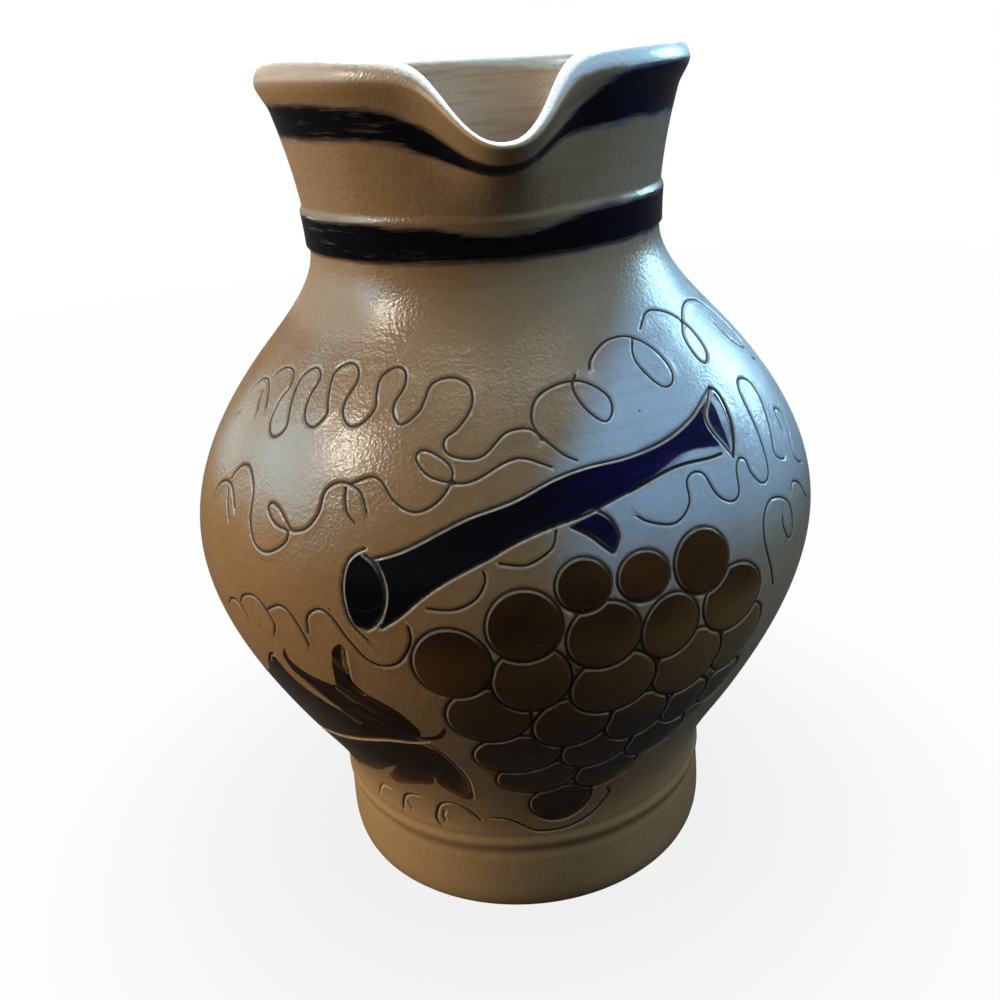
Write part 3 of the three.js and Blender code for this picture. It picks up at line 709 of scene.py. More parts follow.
def belt_mesh():
    """Vertices, triangles and paint of the ornamented belt."""
    chart, faces, origin, seam_rows, lines = ornament_chart()
    flat = surface(chart)
    distance, kind, offset = near_line(lines, flat)
    areas = ([oval(grape, GRAPE_EDGE_STEPS) for grape in GRAPES], BROWN_AREAS, WASH_AREAS, COBALT_AREAS)
    grape_edge, leaf, wash, cobalt = (signed_distance(chart, flat, polygons) for polygons in areas)
    paint = {"cobalt": cobalt, "brown": np.maximum(leaf, grape_edge), "leaf": leaf, "wash": wash}
    burr = burr_share(chart[:, 0], offset, distance)
    height = height_of(chart[:, 1])
    slope = slope_at(height)
    outward = place(chart[:, 0], np.ones(len(chart)), -slope) / np.hypot(1, slope)[:, None]
    swell = GRAPE_SWELL * smooth_step(0, GRAPE_SWELL_REACH, grape_edge)
    relief = cut_relief(distance, burr) * smooth_step(0, RELIEF_FADE, height - ORNAMENT_LOW) + swell
    # The cut's pool field darkens it as pooled glaze and painted shade; the burr field places a painted
    # highlight on the burr's lit side.
    fields = {
        "cut": np.minimum(distance / KIND_WIDTH[kind], FAR),
        "pool_and_shade": KIND_POOL_AND_SHADE[kind],
        "burr": KIND_BURR_HIGHLIGHT[kind] * burr,
        **{name: np.clip(edge, -FAR, FAR) for name, edge in paint.items()},
        "high": height,
        "flow": painted_flow(chart, cobalt, leaf),
        "within": np.zeros(len(chart)),
    }
    return flat + outward * relief[:, None], faces, origin, seam_rows, fields


def ring_profile():
    """Closed section of the wall as (radius, height) runs below and above the ornamented belt."""
    def outer(heights):
        return [(float(outer_radius(h)), float(h)) for h in heights]

    below = [(0.0, 0.0)] + [(float(r), 0.0) for r in BASE_RINGS]
    below += outer(FOOT_EDGE * (1 - np.cos(np.linspace(0, np.pi / 2, FOOT_ARC_STEPS))))
    for row in FOOT_ROWS:
        below += outer(np.linspace(*row))
    above = outer([ORNAMENT_HIGH])
    for low, high, steps in NECK_ROWS:
        above += outer(np.linspace(low, high, steps + 1)[1:])
    crest = float(outer_radius(RIM)) - LIP_ROLL
    for turn in np.linspace(0, np.pi, CROWN_STEPS)[1:]:
        reach = LIP_ROLL if turn < np.pi / 2 else LIP - LIP_ROLL
        above.append((crest + reach * math.cos(turn), RIM + LIP_CROWN * math.sin(turn)))
    curve_top = FLOOR + FLOOR_CURVE
    for height in np.linspace(COLLAR, curve_top, INSIDE_STEPS):
        slope = float(slope_at(height, wall_radius))
        length = math.hypot(1, slope)
        above.append((float(wall_radius(height)) - WALL / length, height + WALL * slope / length))
    curve_centre = above[-1][0] - FLOOR_CURVE
    for turn in np.linspace(0, np.pi / 2, FLOOR_ARC_STEPS)[1:]:
        above.append((curve_centre + FLOOR_CURVE * math.cos(turn), curve_top - FLOOR_CURVE * math.sin(turn)))
    above += [(radius, FLOOR) for radius in FLOOR_RINGS + (0.0,)]
    return below, above


def ring_rows(profile, base):
    """Points, rings and unpulled places of the turned wall. A point on the axis closes its end."""
    angles = -np.pi + 2 * np.pi * np.arange(COLUMNS) / COLUMNS
    points, rows, places = [], [], []
    for radius, height in profile:
        start = base + sum(len(p) for p in points)
        if radius == 0:
            points.append(np.array([[0, 0, height]]))
            rows.append(np.full(COLUMNS, start))
            places.append(np.array([[0, height]]))
            continue
        pulled, lifted = pull_lip(angles, radius, height)
        points.append(place(angles, pulled, lifted))
        rows.append(start + np.arange(COLUMNS))
        places.append(np.stack([angles, np.full(COLUMNS, height)], -1))
    return np.concatenate(points), rows, np.concatenate(places)


def join_rows(rows):
    faces = []
    for low, high in zip(rows, rows[1:]):
        low_next, high_next = np.roll(low, -1), np.roll(high, -1)
        first = np.stack([low, low_next, high_next], -1)
        second = np.stack([low, high_next, high], -1)
        faces += [first[low != low_next], second[high_next != high]]
    return np.concatenate(faces)


def new_object(name, vertices, faces, material):
    mesh = bpy.data.meshes.new(name)
    mesh.from_pydata((np.asarray(vertices) * MM).tolist(), [], [[int(v) for v in face] for face in faces])
    mesh.validate()
    mesh.shade_smooth()
    mesh.materials.append(material)
    piece = bpy.data.objects.new(name, mesh)
    bpy.context.scene.collection.objects.link(piece)
    return piece


def add_field(piece, name, values):
    values = np.asarray(values, np.float32)
    kind, key = ("FLOAT", "value") if values.ndim == 1 else ("FLOAT_VECTOR", "vector")
    piece.data.attributes.new(name, kind, "POINT").data.foreach_set(key, values.ravel())


def make_body(material):
    belt, belt_faces, origin, seam_rows, fields = belt_mesh()
    below, above = ring_profile()
    low_points, low_rows, low_places = ring_rows(below, len(belt))
    high_points, high_rows, high_places = ring_rows(above, len(belt) + len(low_points))
    # The belt's border vertices are the rings' own, and its two seam edges are one.
    alias = np.arange(len(belt))
    first = {int(o): i for i, o in enumerate(origin) if o >= 0}
    side = COLUMNS + 1
    for column in range(side):
        alias[first[column]] = low_rows[-1][column % COLUMNS]
        alias[first[side + column]] = high_rows[0][column % COLUMNS]
    for row in range(seam_rows):
        alias[first[2 * side + seam_rows + row]] = first[2 * side + row]
    faces = np.concatenate([alias[belt_faces], join_rows(low_rows), join_rows(high_rows)])
    points = np.concatenate([belt, low_points, high_points])
    used = np.unique(faces)
    number = np.full(len(points), -1)
    number[used] = np.arange(len(used))
    piece = new_object("jug_body", points[used], number[faces], material)
    places = np.concatenate([low_places, high_places])
    angles, heights = places.T
    degrees = np.degrees(angles)
    bands = np.maximum(in_band(LOWER_BAND_TOP, LOWER_BAND_BOTTOM, degrees, heights),
                       in_band(UPPER_BAND_TOP, UPPER_BAND_BOTTOM, degrees, heights))
    neck_start, neck_end = len(low_places), len(low_places) + (1 + RING_ROWS_OUTSIDE) * COLUMNS
    cobalt = np.full(len(places), -FAR)
    cobalt[neck_start:neck_end] = np.clip(bands, -FAR, FAR)[neck_start:neck_end]
    plain = {
        "cut": FAR, "pool_and_shade": 0, "burr": 0, "brown": -FAR, "leaf": -FAR, "wash": -FAR, "high": heights,
        "cobalt": cobalt, "flow": turned_flow(angles, heights),
        "within": np.where(np.arange(len(places)) < neck_end, 0.0, 1.0),
    }
    for name, values in fields.items():
        rest = np.broadcast_to(plain[name], (len(places),) + values.shape[1:])
        add_field(piece, name, np.concatenate([values, rest])[used])
    return piece


def srgb(red, green, blue):
    """A colour as it looks, in 0 to 255, as Blender takes it."""
    def linear(value):
        value /= 255
        return value / 12.92 if value <= 0.04045 else ((value + 0.055) / 1.055) ** 2.4
    return (linear(red), linear(green), linear(blue), 1)


WHITE = (1, 1, 1, 1)
# Tan of the left side: partly flashing, partly painted warm light
TAN_FLASH_AND_WARM_LIGHT = srgb(152, 119, 80)
GREY = srgb(132, 120, 103)
LEE_FOOT = srgb(156, 122, 82)
# Inside: greyer glaze, made paler as painted light
INSIDE_GREY_AND_LIT = srgb(204, 182, 158)
INSIDE_STREAK = srgb(136, 112, 88)
# Lighter foot on the left: partly flashing, partly painted light
FOOT_FLASH_AND_LIGHT = srgb(182, 150, 110)
# Pale blue of painted window light on the right shoulder
PAINTED_WINDOW_LIGHT = srgb(172, 194, 213)
# Crown of the rim: salt white and painted highlight, blue on the right side
CROWN_WHITE_HIGHLIGHT = srgb(196, 196, 190)
CROWN_BLUE_HIGHLIGHT = srgb(204, 226, 236)
PALE = srgb(180, 164, 140)
EARTH = srgb(122, 94, 62)
IRON_AND_SHADE = srgb(66, 42, 24)
# Dark of the cut: pooled glaze and painted shade
POOL_AND_SHADE = srgb(18, 13, 10)
# Pale burr: painted highlight on the lit side, partly glaze breaking thin
BURR_HIGHLIGHT = srgb(180, 168, 150)
BURR_HIGHLIGHT_LOW = srgb(226, 204, 172)
COBALT = srgb(10, 9, 58)
COBALT_DARK = srgb(5, 6, 14)
COBALT_THIN = srgb(58, 66, 104)
COBALT_HALO_AND_COOL_LIGHT = srgb(98, 100, 128)
GRAPE_MID = srgb(75, 45, 18)
GRAPE_DARK = srgb(48, 27, 9)
GRAPE_PALE = srgb(118, 86, 42)
GRAPE_THIN = srgb(76, 50, 22)
LEAF_MID = srgb(38, 19, 7)
LEAF_DARK = srgb(19, 9, 3)
LEAF_THIN = srgb(98, 58, 26)
LEAF_RED = srgb(140, 74, 30)
SPECK = srgb(58, 36, 22)

# Where each tone of the glaze and each painted light sets in and where it is full, in metres across the jug
# from its left to its right, or back, or up. Heights of the crown are in millimetres.
LEE_ACROSS, LEE_UP = (-0.06, 0.07), (0.07, 0.125)
WINDOW_LIGHT_ACROSS, WINDOW_LIGHT_BACK = (-0.005, 0.013), (0.075, 0.01)
WINDOW_LIGHT_LOW, WINDOW_LIGHT_HIGH = (0.116, 0.142), (0.2, 0.18)
WINDOW_LIGHT_SLANT_FROM, WINDOW_LIGHT_SLANT = 0.15, 0.9
CROWN_LEE, CROWN_HUE = (-0.004, 0.03), (-0.01, 0.04)
CROWN_FROM, CROWN_FADE, CROWN_LEE_DROP = 238.0, 2.0, 3.6
FOOT_LIGHT_UP, FOOT_LIGHT_ACROSS = (0.085, 0.026), (0.012, -0.03)
THIN_ROWS_LOW, THIN_ROWS_HIGH, THIN_ACROSS = (0.074, 0.092), (0.117, 0.104), (-0.02, 0.05)
LEAF_TIPS_UP = (0.057, 0.048)
NECK_UP, WORN_ACROSS = (0.19, 0.193), (-0.012, -0.04)
# Painted cool light on the right side: where the cobalt halo and the cobalt's navy set in
HALO_IN_COOL_LIGHT_ACROSS, NAVY_IN_COOL_LIGHT_ACROSS = (0.0, 0.035), (-0.03, 0.05)
LOW_HIGHLIGHT_UP = (0.1, 0.075)
DRY_ACROSS, DRY_UP = (-0.032, -0.041), (0.174, 0.182)
# Where the painted edges begin and are full, in millimetres inside them
COBALT_EDGE, BROWN_EDGE, LEAF_EDGE = (-0.15, 0.3), (-0.15, 0.25), (-0.35, 0.45)
# Hollows at the foot's roll: height and reach in millimetres, and how dark the iron and painted shade are
# there
FOOT_SHADED_HOLLOWS = ((21.8, 2.4, 0.4), (28.0, 1.4, 0.2))

# Grain of the glaze, in cells per metre, and its gloss
SPECK_GRAIN, MOTTLE_GRAIN, CLOUD_GRAIN = 150.0, 520.0, 30.0
RING_COLOUR_GRAIN, RING_RELIEF_GRAIN = 420.0, 230.0
PEEL_CELLS, PEEL_SWELL, PEEL_DEPTH = 1400.0, 600.0, 0.000112
INSIDE_GRAIN = (40, 40, 620)
BODY_SATIN, HANDLE_SATIN, SATIN_GRAIN = (0.24, 0.34), (0.26, 0.36), 90.0
PAINT_ROUGHNESS, DRY_ROUGHNESS, GROOVE_ROUGHNESS = 0.15, 0.55, 0.8


class Value:
    """An output of a node, for use in formulas. Each operation adds a math node."""

    def __init__(self, nodes, socket):
        self.nodes = nodes
        self.socket = socket

    def __add__(self, other):
        return self.nodes.math("ADD", self, other)

    def __radd__(self, other):
        return self.nodes.math("ADD", other, self)

    def __sub__(self, other):
        return self.nodes.math("SUBTRACT", self, other)

    def __rsub__(self, other):
        return self.nodes.math("SUBTRACT", other, self)

    def __mul__(self, other):
        return self.nodes.math("MULTIPLY", self, other)


class Nodes:
    """Short way to write a node tree."""

    def __init__(self, owner):
        self.owner = owner
        owner.use_nodes = True
        self.tree = owner.node_tree
        self.tree.nodes.clear()

    def node(self, kind, inputs, **settings):
        node = self.tree.nodes.new("ShaderNode" + kind)
        for key, value in settings.items():
            setattr(node, key, value)
        for key, value in inputs.items():
            if isinstance(value, Value):
                self.tree.links.new(value.socket, node.inputs[key])
            else:
                node.inputs[key].default_value = value
        return node

    def add(self, kind, inputs, output=0, **settings):
        return Value(self, self.node(kind, inputs, **settings).outputs[output])

    def split(self, vector):
        return [Value(self, socket) for socket in self.node("SeparateXYZ", {"Vector": vector}).outputs]

    def math(self, operation, a, b=0.0):
        return self.add("Math", {0: a, 1: b}, operation=operation)

    def most(self, a, b):
        return self.math("MAXIMUM", a, b)

    def ramp(self, value, low, high, start=0.0, end=1.0):
        """Start below low and end above high, smoothly."""
        inputs = {"Value": value, "From Min": low, "From Max": high, "To Min": start, "To Max": end}
        return self.add("MapRange", inputs, interpolation_type="SMOOTHSTEP")

    def blend(self, share, low, high):
        """From low to high as the share goes from 0 to 1."""
        return self.add("MapRange", {"Value": share, "To Min": low, "To Max": high})

    def mix(self, share, a, b):
        """From colour a to colour b."""
        return self.add("Mix", {0: share, 6: a, 7: b}, 2, data_type="RGBA")

    def finish(self, shader):
        kind = "World" if isinstance(self.owner, bpy.types.World) else "Material"
        self.node("Output" + kind, {"Surface": shader})
        return self.owner

    def field(self, name):
        return self.add("Attribute", {}, "Fac", attribute_name=name)

    def coordinates(self, kind="Object"):
        return self.add("TexCoord", {}, kind)

    def place(self, scale=(1, 1, 1)):
        return self.add("Mapping", {"Vector": self.coordinates(), "Scale": scale})

    def noise(self, vector, grain, detail=2.0, roughness=0.5):
        inputs = {"Vector": vector, "Scale": grain, "Detail": detail, "Roughness": roughness}
        return self.add("TexNoise", inputs, "Fac")

    def drift(self, vector, grain, size, detail=2.0, roughness=0.5):
        """Noise about zero."""
        return (self.noise(vector, grain, detail, roughness) - 0.5) * size

    def rings(self, up, grain, detail):
        """Bands that run level round the turned wall."""
        return self.add("TexNoise", {"W": up * grain, "Scale": 1.0, "Detail": detail}, noise_dimensions="1D")


def glaze_base(n):
    """Salt glaze over grey stoneware: tan on the left, partly flashing and partly painted warm light, grey on
    the lee side, mottled, speckled.
    """
    position = n.place()
    across, back, up = n.split(position)
    # Painted light: the left side is tan as if lit by a warm lamp, partly real flashing; the lee side to the
    # right stays grey, warmer towards its foot.
    lee = n.mix(n.ramp(up, *LEE_UP), LEE_FOOT, GREY)
    colour = n.mix(n.ramp(across + n.drift(position, 9.0, 0.08), *LEE_ACROSS), TAN_FLASH_AND_WARM_LIGHT, lee)
    # Painted light: a pale blue pool of cool window light on the shoulder's right side, with a slanting edge.
    slant = n.most(up - WINDOW_LIGHT_SLANT_FROM, 0.0) * WINDOW_LIGHT_SLANT
    reach = across + n.drift(position, 22.0, 0.02) - slant
    belt = n.ramp(up, *WINDOW_LIGHT_LOW) * n.ramp(up, *WINDOW_LIGHT_HIGH) * n.ramp(back, *WINDOW_LIGHT_BACK)
    colour = n.mix(n.ramp(reach, *WINDOW_LIGHT_ACROSS) * belt * 0.92, colour, PAINTED_WINDOW_LIGHT)
    mottle = n.noise(position, MOTTLE_GRAIN, 3.0, 0.6)
    colour = n.mix(n.ramp(mottle, 0.4, 0.8) * 0.16, colour, PALE)
    cloud = n.noise(position, CLOUD_GRAIN, 4.0, 0.6)
    colour = n.mix(n.ramp(cloud, 0.4, 0.75) * 0.22, colour, EARTH)
    rings = n.rings(up, RING_COLOUR_GRAIN, 3.0)
    colour = n.mix(n.ramp(rings, 0.45, 0.75) * 0.12, colour, EARTH)
    cells = {"Vector": position, "Scale": SPECK_GRAIN, "Randomness": 1.0}
    dots = n.add("TexVoronoi", cells, "Distance")
    pick = n.add("SeparateColor", {"Color": n.add("TexVoronoi", cells, "Color")}, "Red")
    speck = n.ramp(dots, 0.09, 0.05) * n.ramp(pick, 0.9, 0.93)
    return n.mix(speck * 0.85, colour, SPECK), position, across, up


def orange_peel(n, position, up, strength=1.0):
    """The glaze's dimpled skin: small pits among a gentle swell, over faint throwing rings."""
    pits = {"Vector": position, "Scale": PEEL_CELLS, "Smoothness": 0.9, "Randomness": 1.0}
    cells = n.add("TexVoronoi", pits, "Distance", feature="SMOOTH_F1")
    height = cells * 0.6 + n.noise(position, PEEL_SWELL, 3.0, 0.6) + n.rings(up, RING_RELIEF_GRAIN, 2.0) * 0.5
    return n.add("Bump", {"Height": height, "Strength": strength, "Distance": PEEL_DEPTH})


def finish_glaze(n, colour, roughness, normal):
    return n.finish(n.add("BsdfPrincipled", {
        "Base Color": colour, "Roughness": roughness, "Normal": normal,
        "IOR": 1.5, "Specular IOR Level": 0.22,
    }))


def line_at(n, up, height, reach):
    """1 on a turned line at this height in millimetres, fading over its reach."""
    return n.ramp(n.math("ABSOLUTE", up * (1 / MM) - height), reach, 0.0)


def kiln_marks_and_painted_light(n, colour, position, across, up):
    """What the kiln leaves, partly painted light and shade: a paler inside, a white crown on the rim, a foot
    lighter on the lit side, and dark hollows.
    """
    # The flame reaches the inside less, so it stays greyer; its paleness is partly painted light on the inner
    # wall.
    within = n.field("within")
    colour = n.mix(within * 0.85, colour, INSIDE_GREY_AND_LIT)
    turned = n.ramp(n.noise(n.place(INSIDE_GRAIN), 1.0, 4.0, 0.6), 0.45, 0.72)
    colour = n.mix(turned * within * 0.4, colour, INSIDE_STREAK)
    # Salt gathers on the rim's crown and whitens it, and a painted highlight lies along it, widest on the lee
    # side, where it is blue as painted cool light.
    ragged = n.drift(position, 230.0, 4.4, 5.0, 0.7)
    crown = n.field("high") + ragged + n.ramp(across, *CROWN_LEE) * CROWN_LEE_DROP
    crown = n.ramp(crown, CROWN_FROM, CROWN_FROM + CROWN_FADE)
    salt_and_highlight = n.mix(n.ramp(across, *CROWN_HUE), CROWN_WHITE_HIGHLIGHT, CROWN_BLUE_HIGHLIGHT)
    colour = n.mix(crown * 0.92, colour, salt_and_highlight)
    # The foot is lighter on its left side: partly flashing by the flame, partly painted light where the warm
    # lamp falls.
    flashed_and_lit = n.ramp(up, *FOOT_LIGHT_UP) * n.ramp(across, *FOOT_LIGHT_ACROSS)
    colour = n.mix(flashed_and_lit * 0.72, colour, FOOT_FLASH_AND_LIGHT)
    # Iron gathers in the hollows under the foot's roll, and painted shade darkens them too.
    fade = n.ramp(n.noise(position, 26.0, 2.0), 0.25, 0.6)
    for height, reach, depth in FOOT_SHADED_HOLLOWS:
        colour = n.mix(line_at(n, up, height, reach) * (fade * depth), colour, IRON_AND_SHADE)
    return colour


def grape_colour(n, position, across, up, streak, edge):
    """Brown in uneven patches, darker towards the edge of the paint."""
    patches = n.noise(position, 48.0, 3.0, 0.55)
    grape = n.mix(n.ramp(patches, 0.28, 0.72), GRAPE_DARK, GRAPE_MID)
    grape = n.mix(n.ramp(edge, 1.6, 0.2) * 0.55, grape, GRAPE_DARK)
    grape = n.mix(n.ramp(streak, 0.46, 0.78) * 0.35, grape, GRAPE_THIN)
    # The brush held more glaze on the upper and the lowest grapes than on the middle rows.
    thin_rows = n.ramp(up, *THIN_ROWS_LOW) * n.ramp(up, *THIN_ROWS_HIGH)
    return n.mix(thin_rows * n.blend(n.ramp(across, *THIN_ACROSS), 0.34, 0.72), grape, GRAPE_PALE)


def leaf_colour(n, up, streak, broad, edge):
    """Darker than the grapes, streaked by the brush, and burnt red at the lower tips."""
    fern = n.mix(n.ramp(broad, 0.35, 0.6), LEAF_DARK, LEAF_MID)
    fern = n.mix(n.ramp(streak, 0.5, 0.68) * 0.75, fern, LEAF_THIN)
    return n.mix(n.ramp(edge, 3.4, 0.3) * n.ramp(up, *LEAF_TIPS_UP) * 0.8, fern, LEAF_RED)


def cobalt_colour(n, across, streak, broad, on_neck, edge):
    """Near black where it is thick, navy and streaky where it is thin; painted light makes it navy on the
    right side and near black on the left.
    """
    # Painted cool light: the cobalt turns navy towards the right side.
    thin_and_lit = n.ramp(across, *NAVY_IN_COOL_LIGHT_ACROSS) + (broad - (0.5 + on_neck * 0.62))
    blue = n.mix(n.ramp(thin_and_lit, 0.1, 0.75), COBALT_DARK, COBALT)
    blue = n.mix(n.ramp(streak, 0.52, 0.34) * 0.75, blue, COBALT_DARK)
    blue = n.mix(n.ramp(streak, 0.6, 0.8) * 0.5, blue, COBALT_THIN)
    return n.mix(n.ramp(edge, 0.9, 0.1) * 0.3, blue, COBALT_THIN)


def body_material():
    n = Nodes(bpy.data.materials.new("painted_salt_glaze"))
    colour, position, across, up = glaze_base(n)
    colour = kiln_marks_and_painted_light(n, colour, position, across, up)
    cut, pool_and_shade, burr, leaf = (n.field(name) for name in ("cut", "pool_and_shade", "burr", "leaf"))
    flow = n.add("Attribute", {}, "Vector", attribute_name="flow")
    streak = n.noise(flow, 1.0, 4.0, 0.62)
    broad = n.noise(flow, 0.33, 3.0, 0.6)
    wobble = n.drift(position, 300.0, 0.5, 3.0)
    on_neck = n.ramp(up, *NECK_UP)
    cobalt_edge = n.field("cobalt") + (streak - 0.52) * (on_neck * 3.2) + wobble
    brown_edge = n.field("brown") + wobble
    # The brown wash lies between the grapes and under them.
    colour = n.mix(n.ramp(n.field("wash"), -2.2, 1.2) * 0.88, colour, GRAPE_THIN)
    brown_mask = n.ramp(brown_edge, *BROWN_EDGE)
    colour = n.mix(brown_mask, colour, grape_colour(n, position, across, up, streak, brown_edge))
    leaf_mask = n.ramp(leaf + wobble + (0.5 - streak) * 1.8, *LEAF_EDGE)
    colour = n.mix(leaf_mask, colour, leaf_colour(n, up, streak, broad, leaf))
    # Cobalt bleeds into the glaze around the painting, shown only on the right side as painted cool light
    # there.
    halo = n.ramp(cobalt_edge, -1.7, -0.1) * n.ramp(n.noise(position, 120.0, 3.0), 0.3, 0.6)
    colour = n.mix(halo * n.ramp(across, *HALO_IN_COOL_LIGHT_ACROSS) * 0.75, colour, COBALT_HALO_AND_COOL_LIGHT)
    blue = cobalt_colour(n, across, streak, broad, on_neck, cobalt_edge)
    # On the turning neck the brush dragged: softer edges, and worn places on the fire's side.
    worn = n.ramp(streak, 0.54, 0.74) * (on_neck * n.ramp(across, *WORN_ACROSS))
    soft = on_neck * 0.7
    begin, full = COBALT_EDGE
    brushed = n.add("MapRange", {"Value": cobalt_edge, "From Min": begin - soft, "From Max": full + soft})
    colour = n.mix(brushed * (1.0 - worn * 0.3), colour, blue)
    # Painted highlight on the burr's lit lower right side, partly glaze breaking pale there, and painted
    # shade with pooled glaze dark in the cut.
    grain = n.noise(position, 420.0, 2.0)
    fray = n.add("MapRange", {"Value": grain, "From Min": 0.3, "From Max": 0.6, "To Min": 0.6})
    beside = n.ramp(cut, 0.34, 0.5) * n.ramp(cut, 1.0, 0.78)
    burr_highlight = n.mix(n.ramp(up, *LOW_HIGHLIGHT_UP), BURR_HIGHLIGHT, BURR_HIGHLIGHT_LOW)
    colour = n.mix(beside * (burr * fray), colour, burr_highlight)
    colour = n.mix(n.ramp(cut, 0.42, 0.22) * pool_and_shade, colour, POOL_AND_SHADE)
    # Paint is the glossiest. On the fire's side the cordon kept the salt from the neck's foot, which is dry.
    paint = n.most(n.ramp(cobalt_edge, *COBALT_EDGE), n.most(brown_mask, leaf_mask))
    satin = n.blend(n.noise(position, SATIN_GRAIN, 2.0), *BODY_SATIN)
    satin = n.blend(n.ramp(across, *DRY_ACROSS) * n.ramp(up, *DRY_UP), satin, DRY_ROUGHNESS)
    roughness = n.blend(paint, satin, PAINT_ROUGHNESS)
    roughness = n.blend(n.ramp(cut, 0.5, 0.3) * pool_and_shade, roughness, GROOVE_ROUGHNESS)
    return finish_glaze(n, colour, roughness, orange_peel(n, position, up, 1.0 - paint * 0.75))


def handle_material():
    n = Nodes(bpy.data.materials.new("strap_salt_glaze"))
    colour, position, _, up = glaze_base(n)
    roughness = n.blend(n.noise(position, SATIN_GRAIN, 2.0), *HANDLE_SATIN)
    return finish_glaze(n, colour, roughness, orange_peel(n, position, up))


# Strap handle in millimetres, as the construction has it.
HANDLE_TOP_DROP, HANDLE_TOP_ANGLE, HANDLE_TOP_ARM = 20, 32, 43
FINGER_GAP, HANDLE_BOW_DROP, HANDLE_BOW_UP, HANDLE_BOW_DOWN = 50, 33, 33, 25
HANDLE_FOOT_HEIGHT, HANDLE_FOOT_ANGLE, HANDLE_FOOT_ARM = 142, 50, 31
HANDLE_WIDTHS, HANDLE_THICKNESSES = (30, 25, 22), (11.5, 9.5)
HANDLE_SQUARENESS, HANDLE_GROOVE = 0.75, 1.2
HANDLE_ROOT_DEPTH, HANDLE_ROOT_REACH, HANDLE_ROOT_FLARE = 11, 8, 0.4
# Its mesh, how deep its ends sink into the body, and the ridges that the pulling hand leaves along it
HANDLE_SIDES, HANDLE_ROWS, HANDLE_CURVE_STEPS, HANDLE_SAMPLES = 56, 120, 600, 1201
HANDLE_SINK = 1.3
HANDLE_GROOVE_REACH, HANDLE_RIDGE, HANDLE_RIDGES = 0.3, 0.16, 11
# Rows stand partly even and partly closer towards both ends.
ROWS_EVEN, ROWS_EASED = 0.6, 0.4


def bezier(points, t):
    a, b, c, d = (np.asarray(p, float) for p in points)
    t = t[:, None]
    return (1 - t) ** 3 * a + 3 * (1 - t) ** 2 * t * b + 3 * (1 - t) * t**2 * c + t**3 * d


def heading(degrees):
    return np.array([math.cos(math.radians(degrees)), math.sin(math.radians(degrees))])


def handle_line():
    """Middle line of the handle as (y, z), evenly spaced, and its length."""
    top_height = TOP - HANDLE_TOP_DROP
    top = np.array([float(outer_radius(top_height)), top_height])
    bow = np.array([KNOTS[5][1] + FINGER_GAP + HANDLE_THICKNESSES[1] / 2, top_height - HANDLE_BOW_DROP])
    foot = np.array([float(outer_radius(HANDLE_FOOT_HEIGHT)), HANDLE_FOOT_HEIGHT])
    up, out = heading(HANDLE_TOP_ANGLE), heading(HANDLE_FOOT_ANGLE)
    root = HANDLE_ROOT_DEPTH
    t = np.linspace(0, 1, HANDLE_CURVE_STEPS)
    first = bezier((top - root * up, top + (HANDLE_TOP_ARM - root) * up, bow + (0, HANDLE_BOW_UP), bow), t)
    low_arm = HANDLE_FOOT_ARM - root
    second = bezier((bow, bow - (0, HANDLE_BOW_DOWN), foot + low_arm * out, foot - root * out), t)
    line = np.concatenate([first, second[1:]])
    along = running_sum(np.hypot(*np.diff(line, axis=0).T))
    return read_at(np.linspace(0, along[-1], HANDLE_SAMPLES), along, line), along[-1]


def make_handle(material):
    line, length = handle_line()
    share = np.linspace(0, 1, len(line))
    tangent = np.gradient(line, axis=0)
    tangent /= np.hypot(*tangent.T)[:, None]
    upper, lower = smooth_step(0, 0.5, share), smooth_step(0.5, 1, share)
    wide, middle, narrow = HANDLE_WIDTHS
    root = np.maximum(np.minimum(share, 1 - share) * length - HANDLE_ROOT_DEPTH, 0)
    flare = 1 + HANDLE_ROOT_FLARE * np.exp(-root / HANDLE_ROOT_REACH)
    width = (wide + (middle - wide) * upper + (narrow - middle) * lower) * flare
    thick = (HANDLE_THICKNESSES[0] + (HANDLE_THICKNESSES[1] - HANDLE_THICKNESSES[0]) * upper) * flare
    turn = 2 * np.pi * np.arange(HANDLE_SIDES) / HANDLE_SIDES
    across, over = np.cos(turn), np.sin(turn)
    x = -np.sign(across) * np.abs(across) ** HANDLE_SQUARENESS * width[:, None] / 2
    swell = np.sign(over) * np.abs(over) ** HANDLE_SQUARENESS * thick[:, None] / 2
    swell = swell - np.where(over > 0, HANDLE_GROOVE * bell(across, HANDLE_GROOVE_REACH), 0)
    swell = swell + np.where(over > 0, HANDLE_RIDGE * np.cos(HANDLE_RIDGES * across), 0)
    y = line[:, :1] - tangent[:, 1:] * swell
    z = line[:, 1:] + tangent[:, :1] * swell
    skin = outer_radius(np.clip(z, 0, RIM)) - HANDLE_SINK
    clear = np.hypot(x, y) > skin
    points = np.zeros((HANDLE_ROWS, HANDLE_SIDES, 3))
    even = np.linspace(0, 1, HANDLE_ROWS)
    spread = ROWS_EVEN * even + ROWS_EASED * (0.5 - 0.5 * np.cos(np.pi * even))
    for side in range(HANDLE_SIDES):
        free = np.flatnonzero(clear[:, side])
        marks = share[free[0]] + (share[free[-1]] - share[free[0]]) * spread
        for axis, values in enumerate((x[:, side], y[:, side], z[:, side])):
            points[:, side, axis] = np.interp(marks, share, values)
    grid = np.arange(HANDLE_ROWS * HANDLE_SIDES).reshape(HANDLE_ROWS, HANDLE_SIDES)
    beside = np.roll(grid, -1, axis=1)
    quads = np.stack([grid[:-1], beside[:-1], beside[1:], grid[1:]], -1).reshape(-1, 4)
    faces = quads.tolist() + [grid[0, ::-1], grid[-1]]
    return new_object("strap_handle", points.reshape(-1, 3), faces, material)


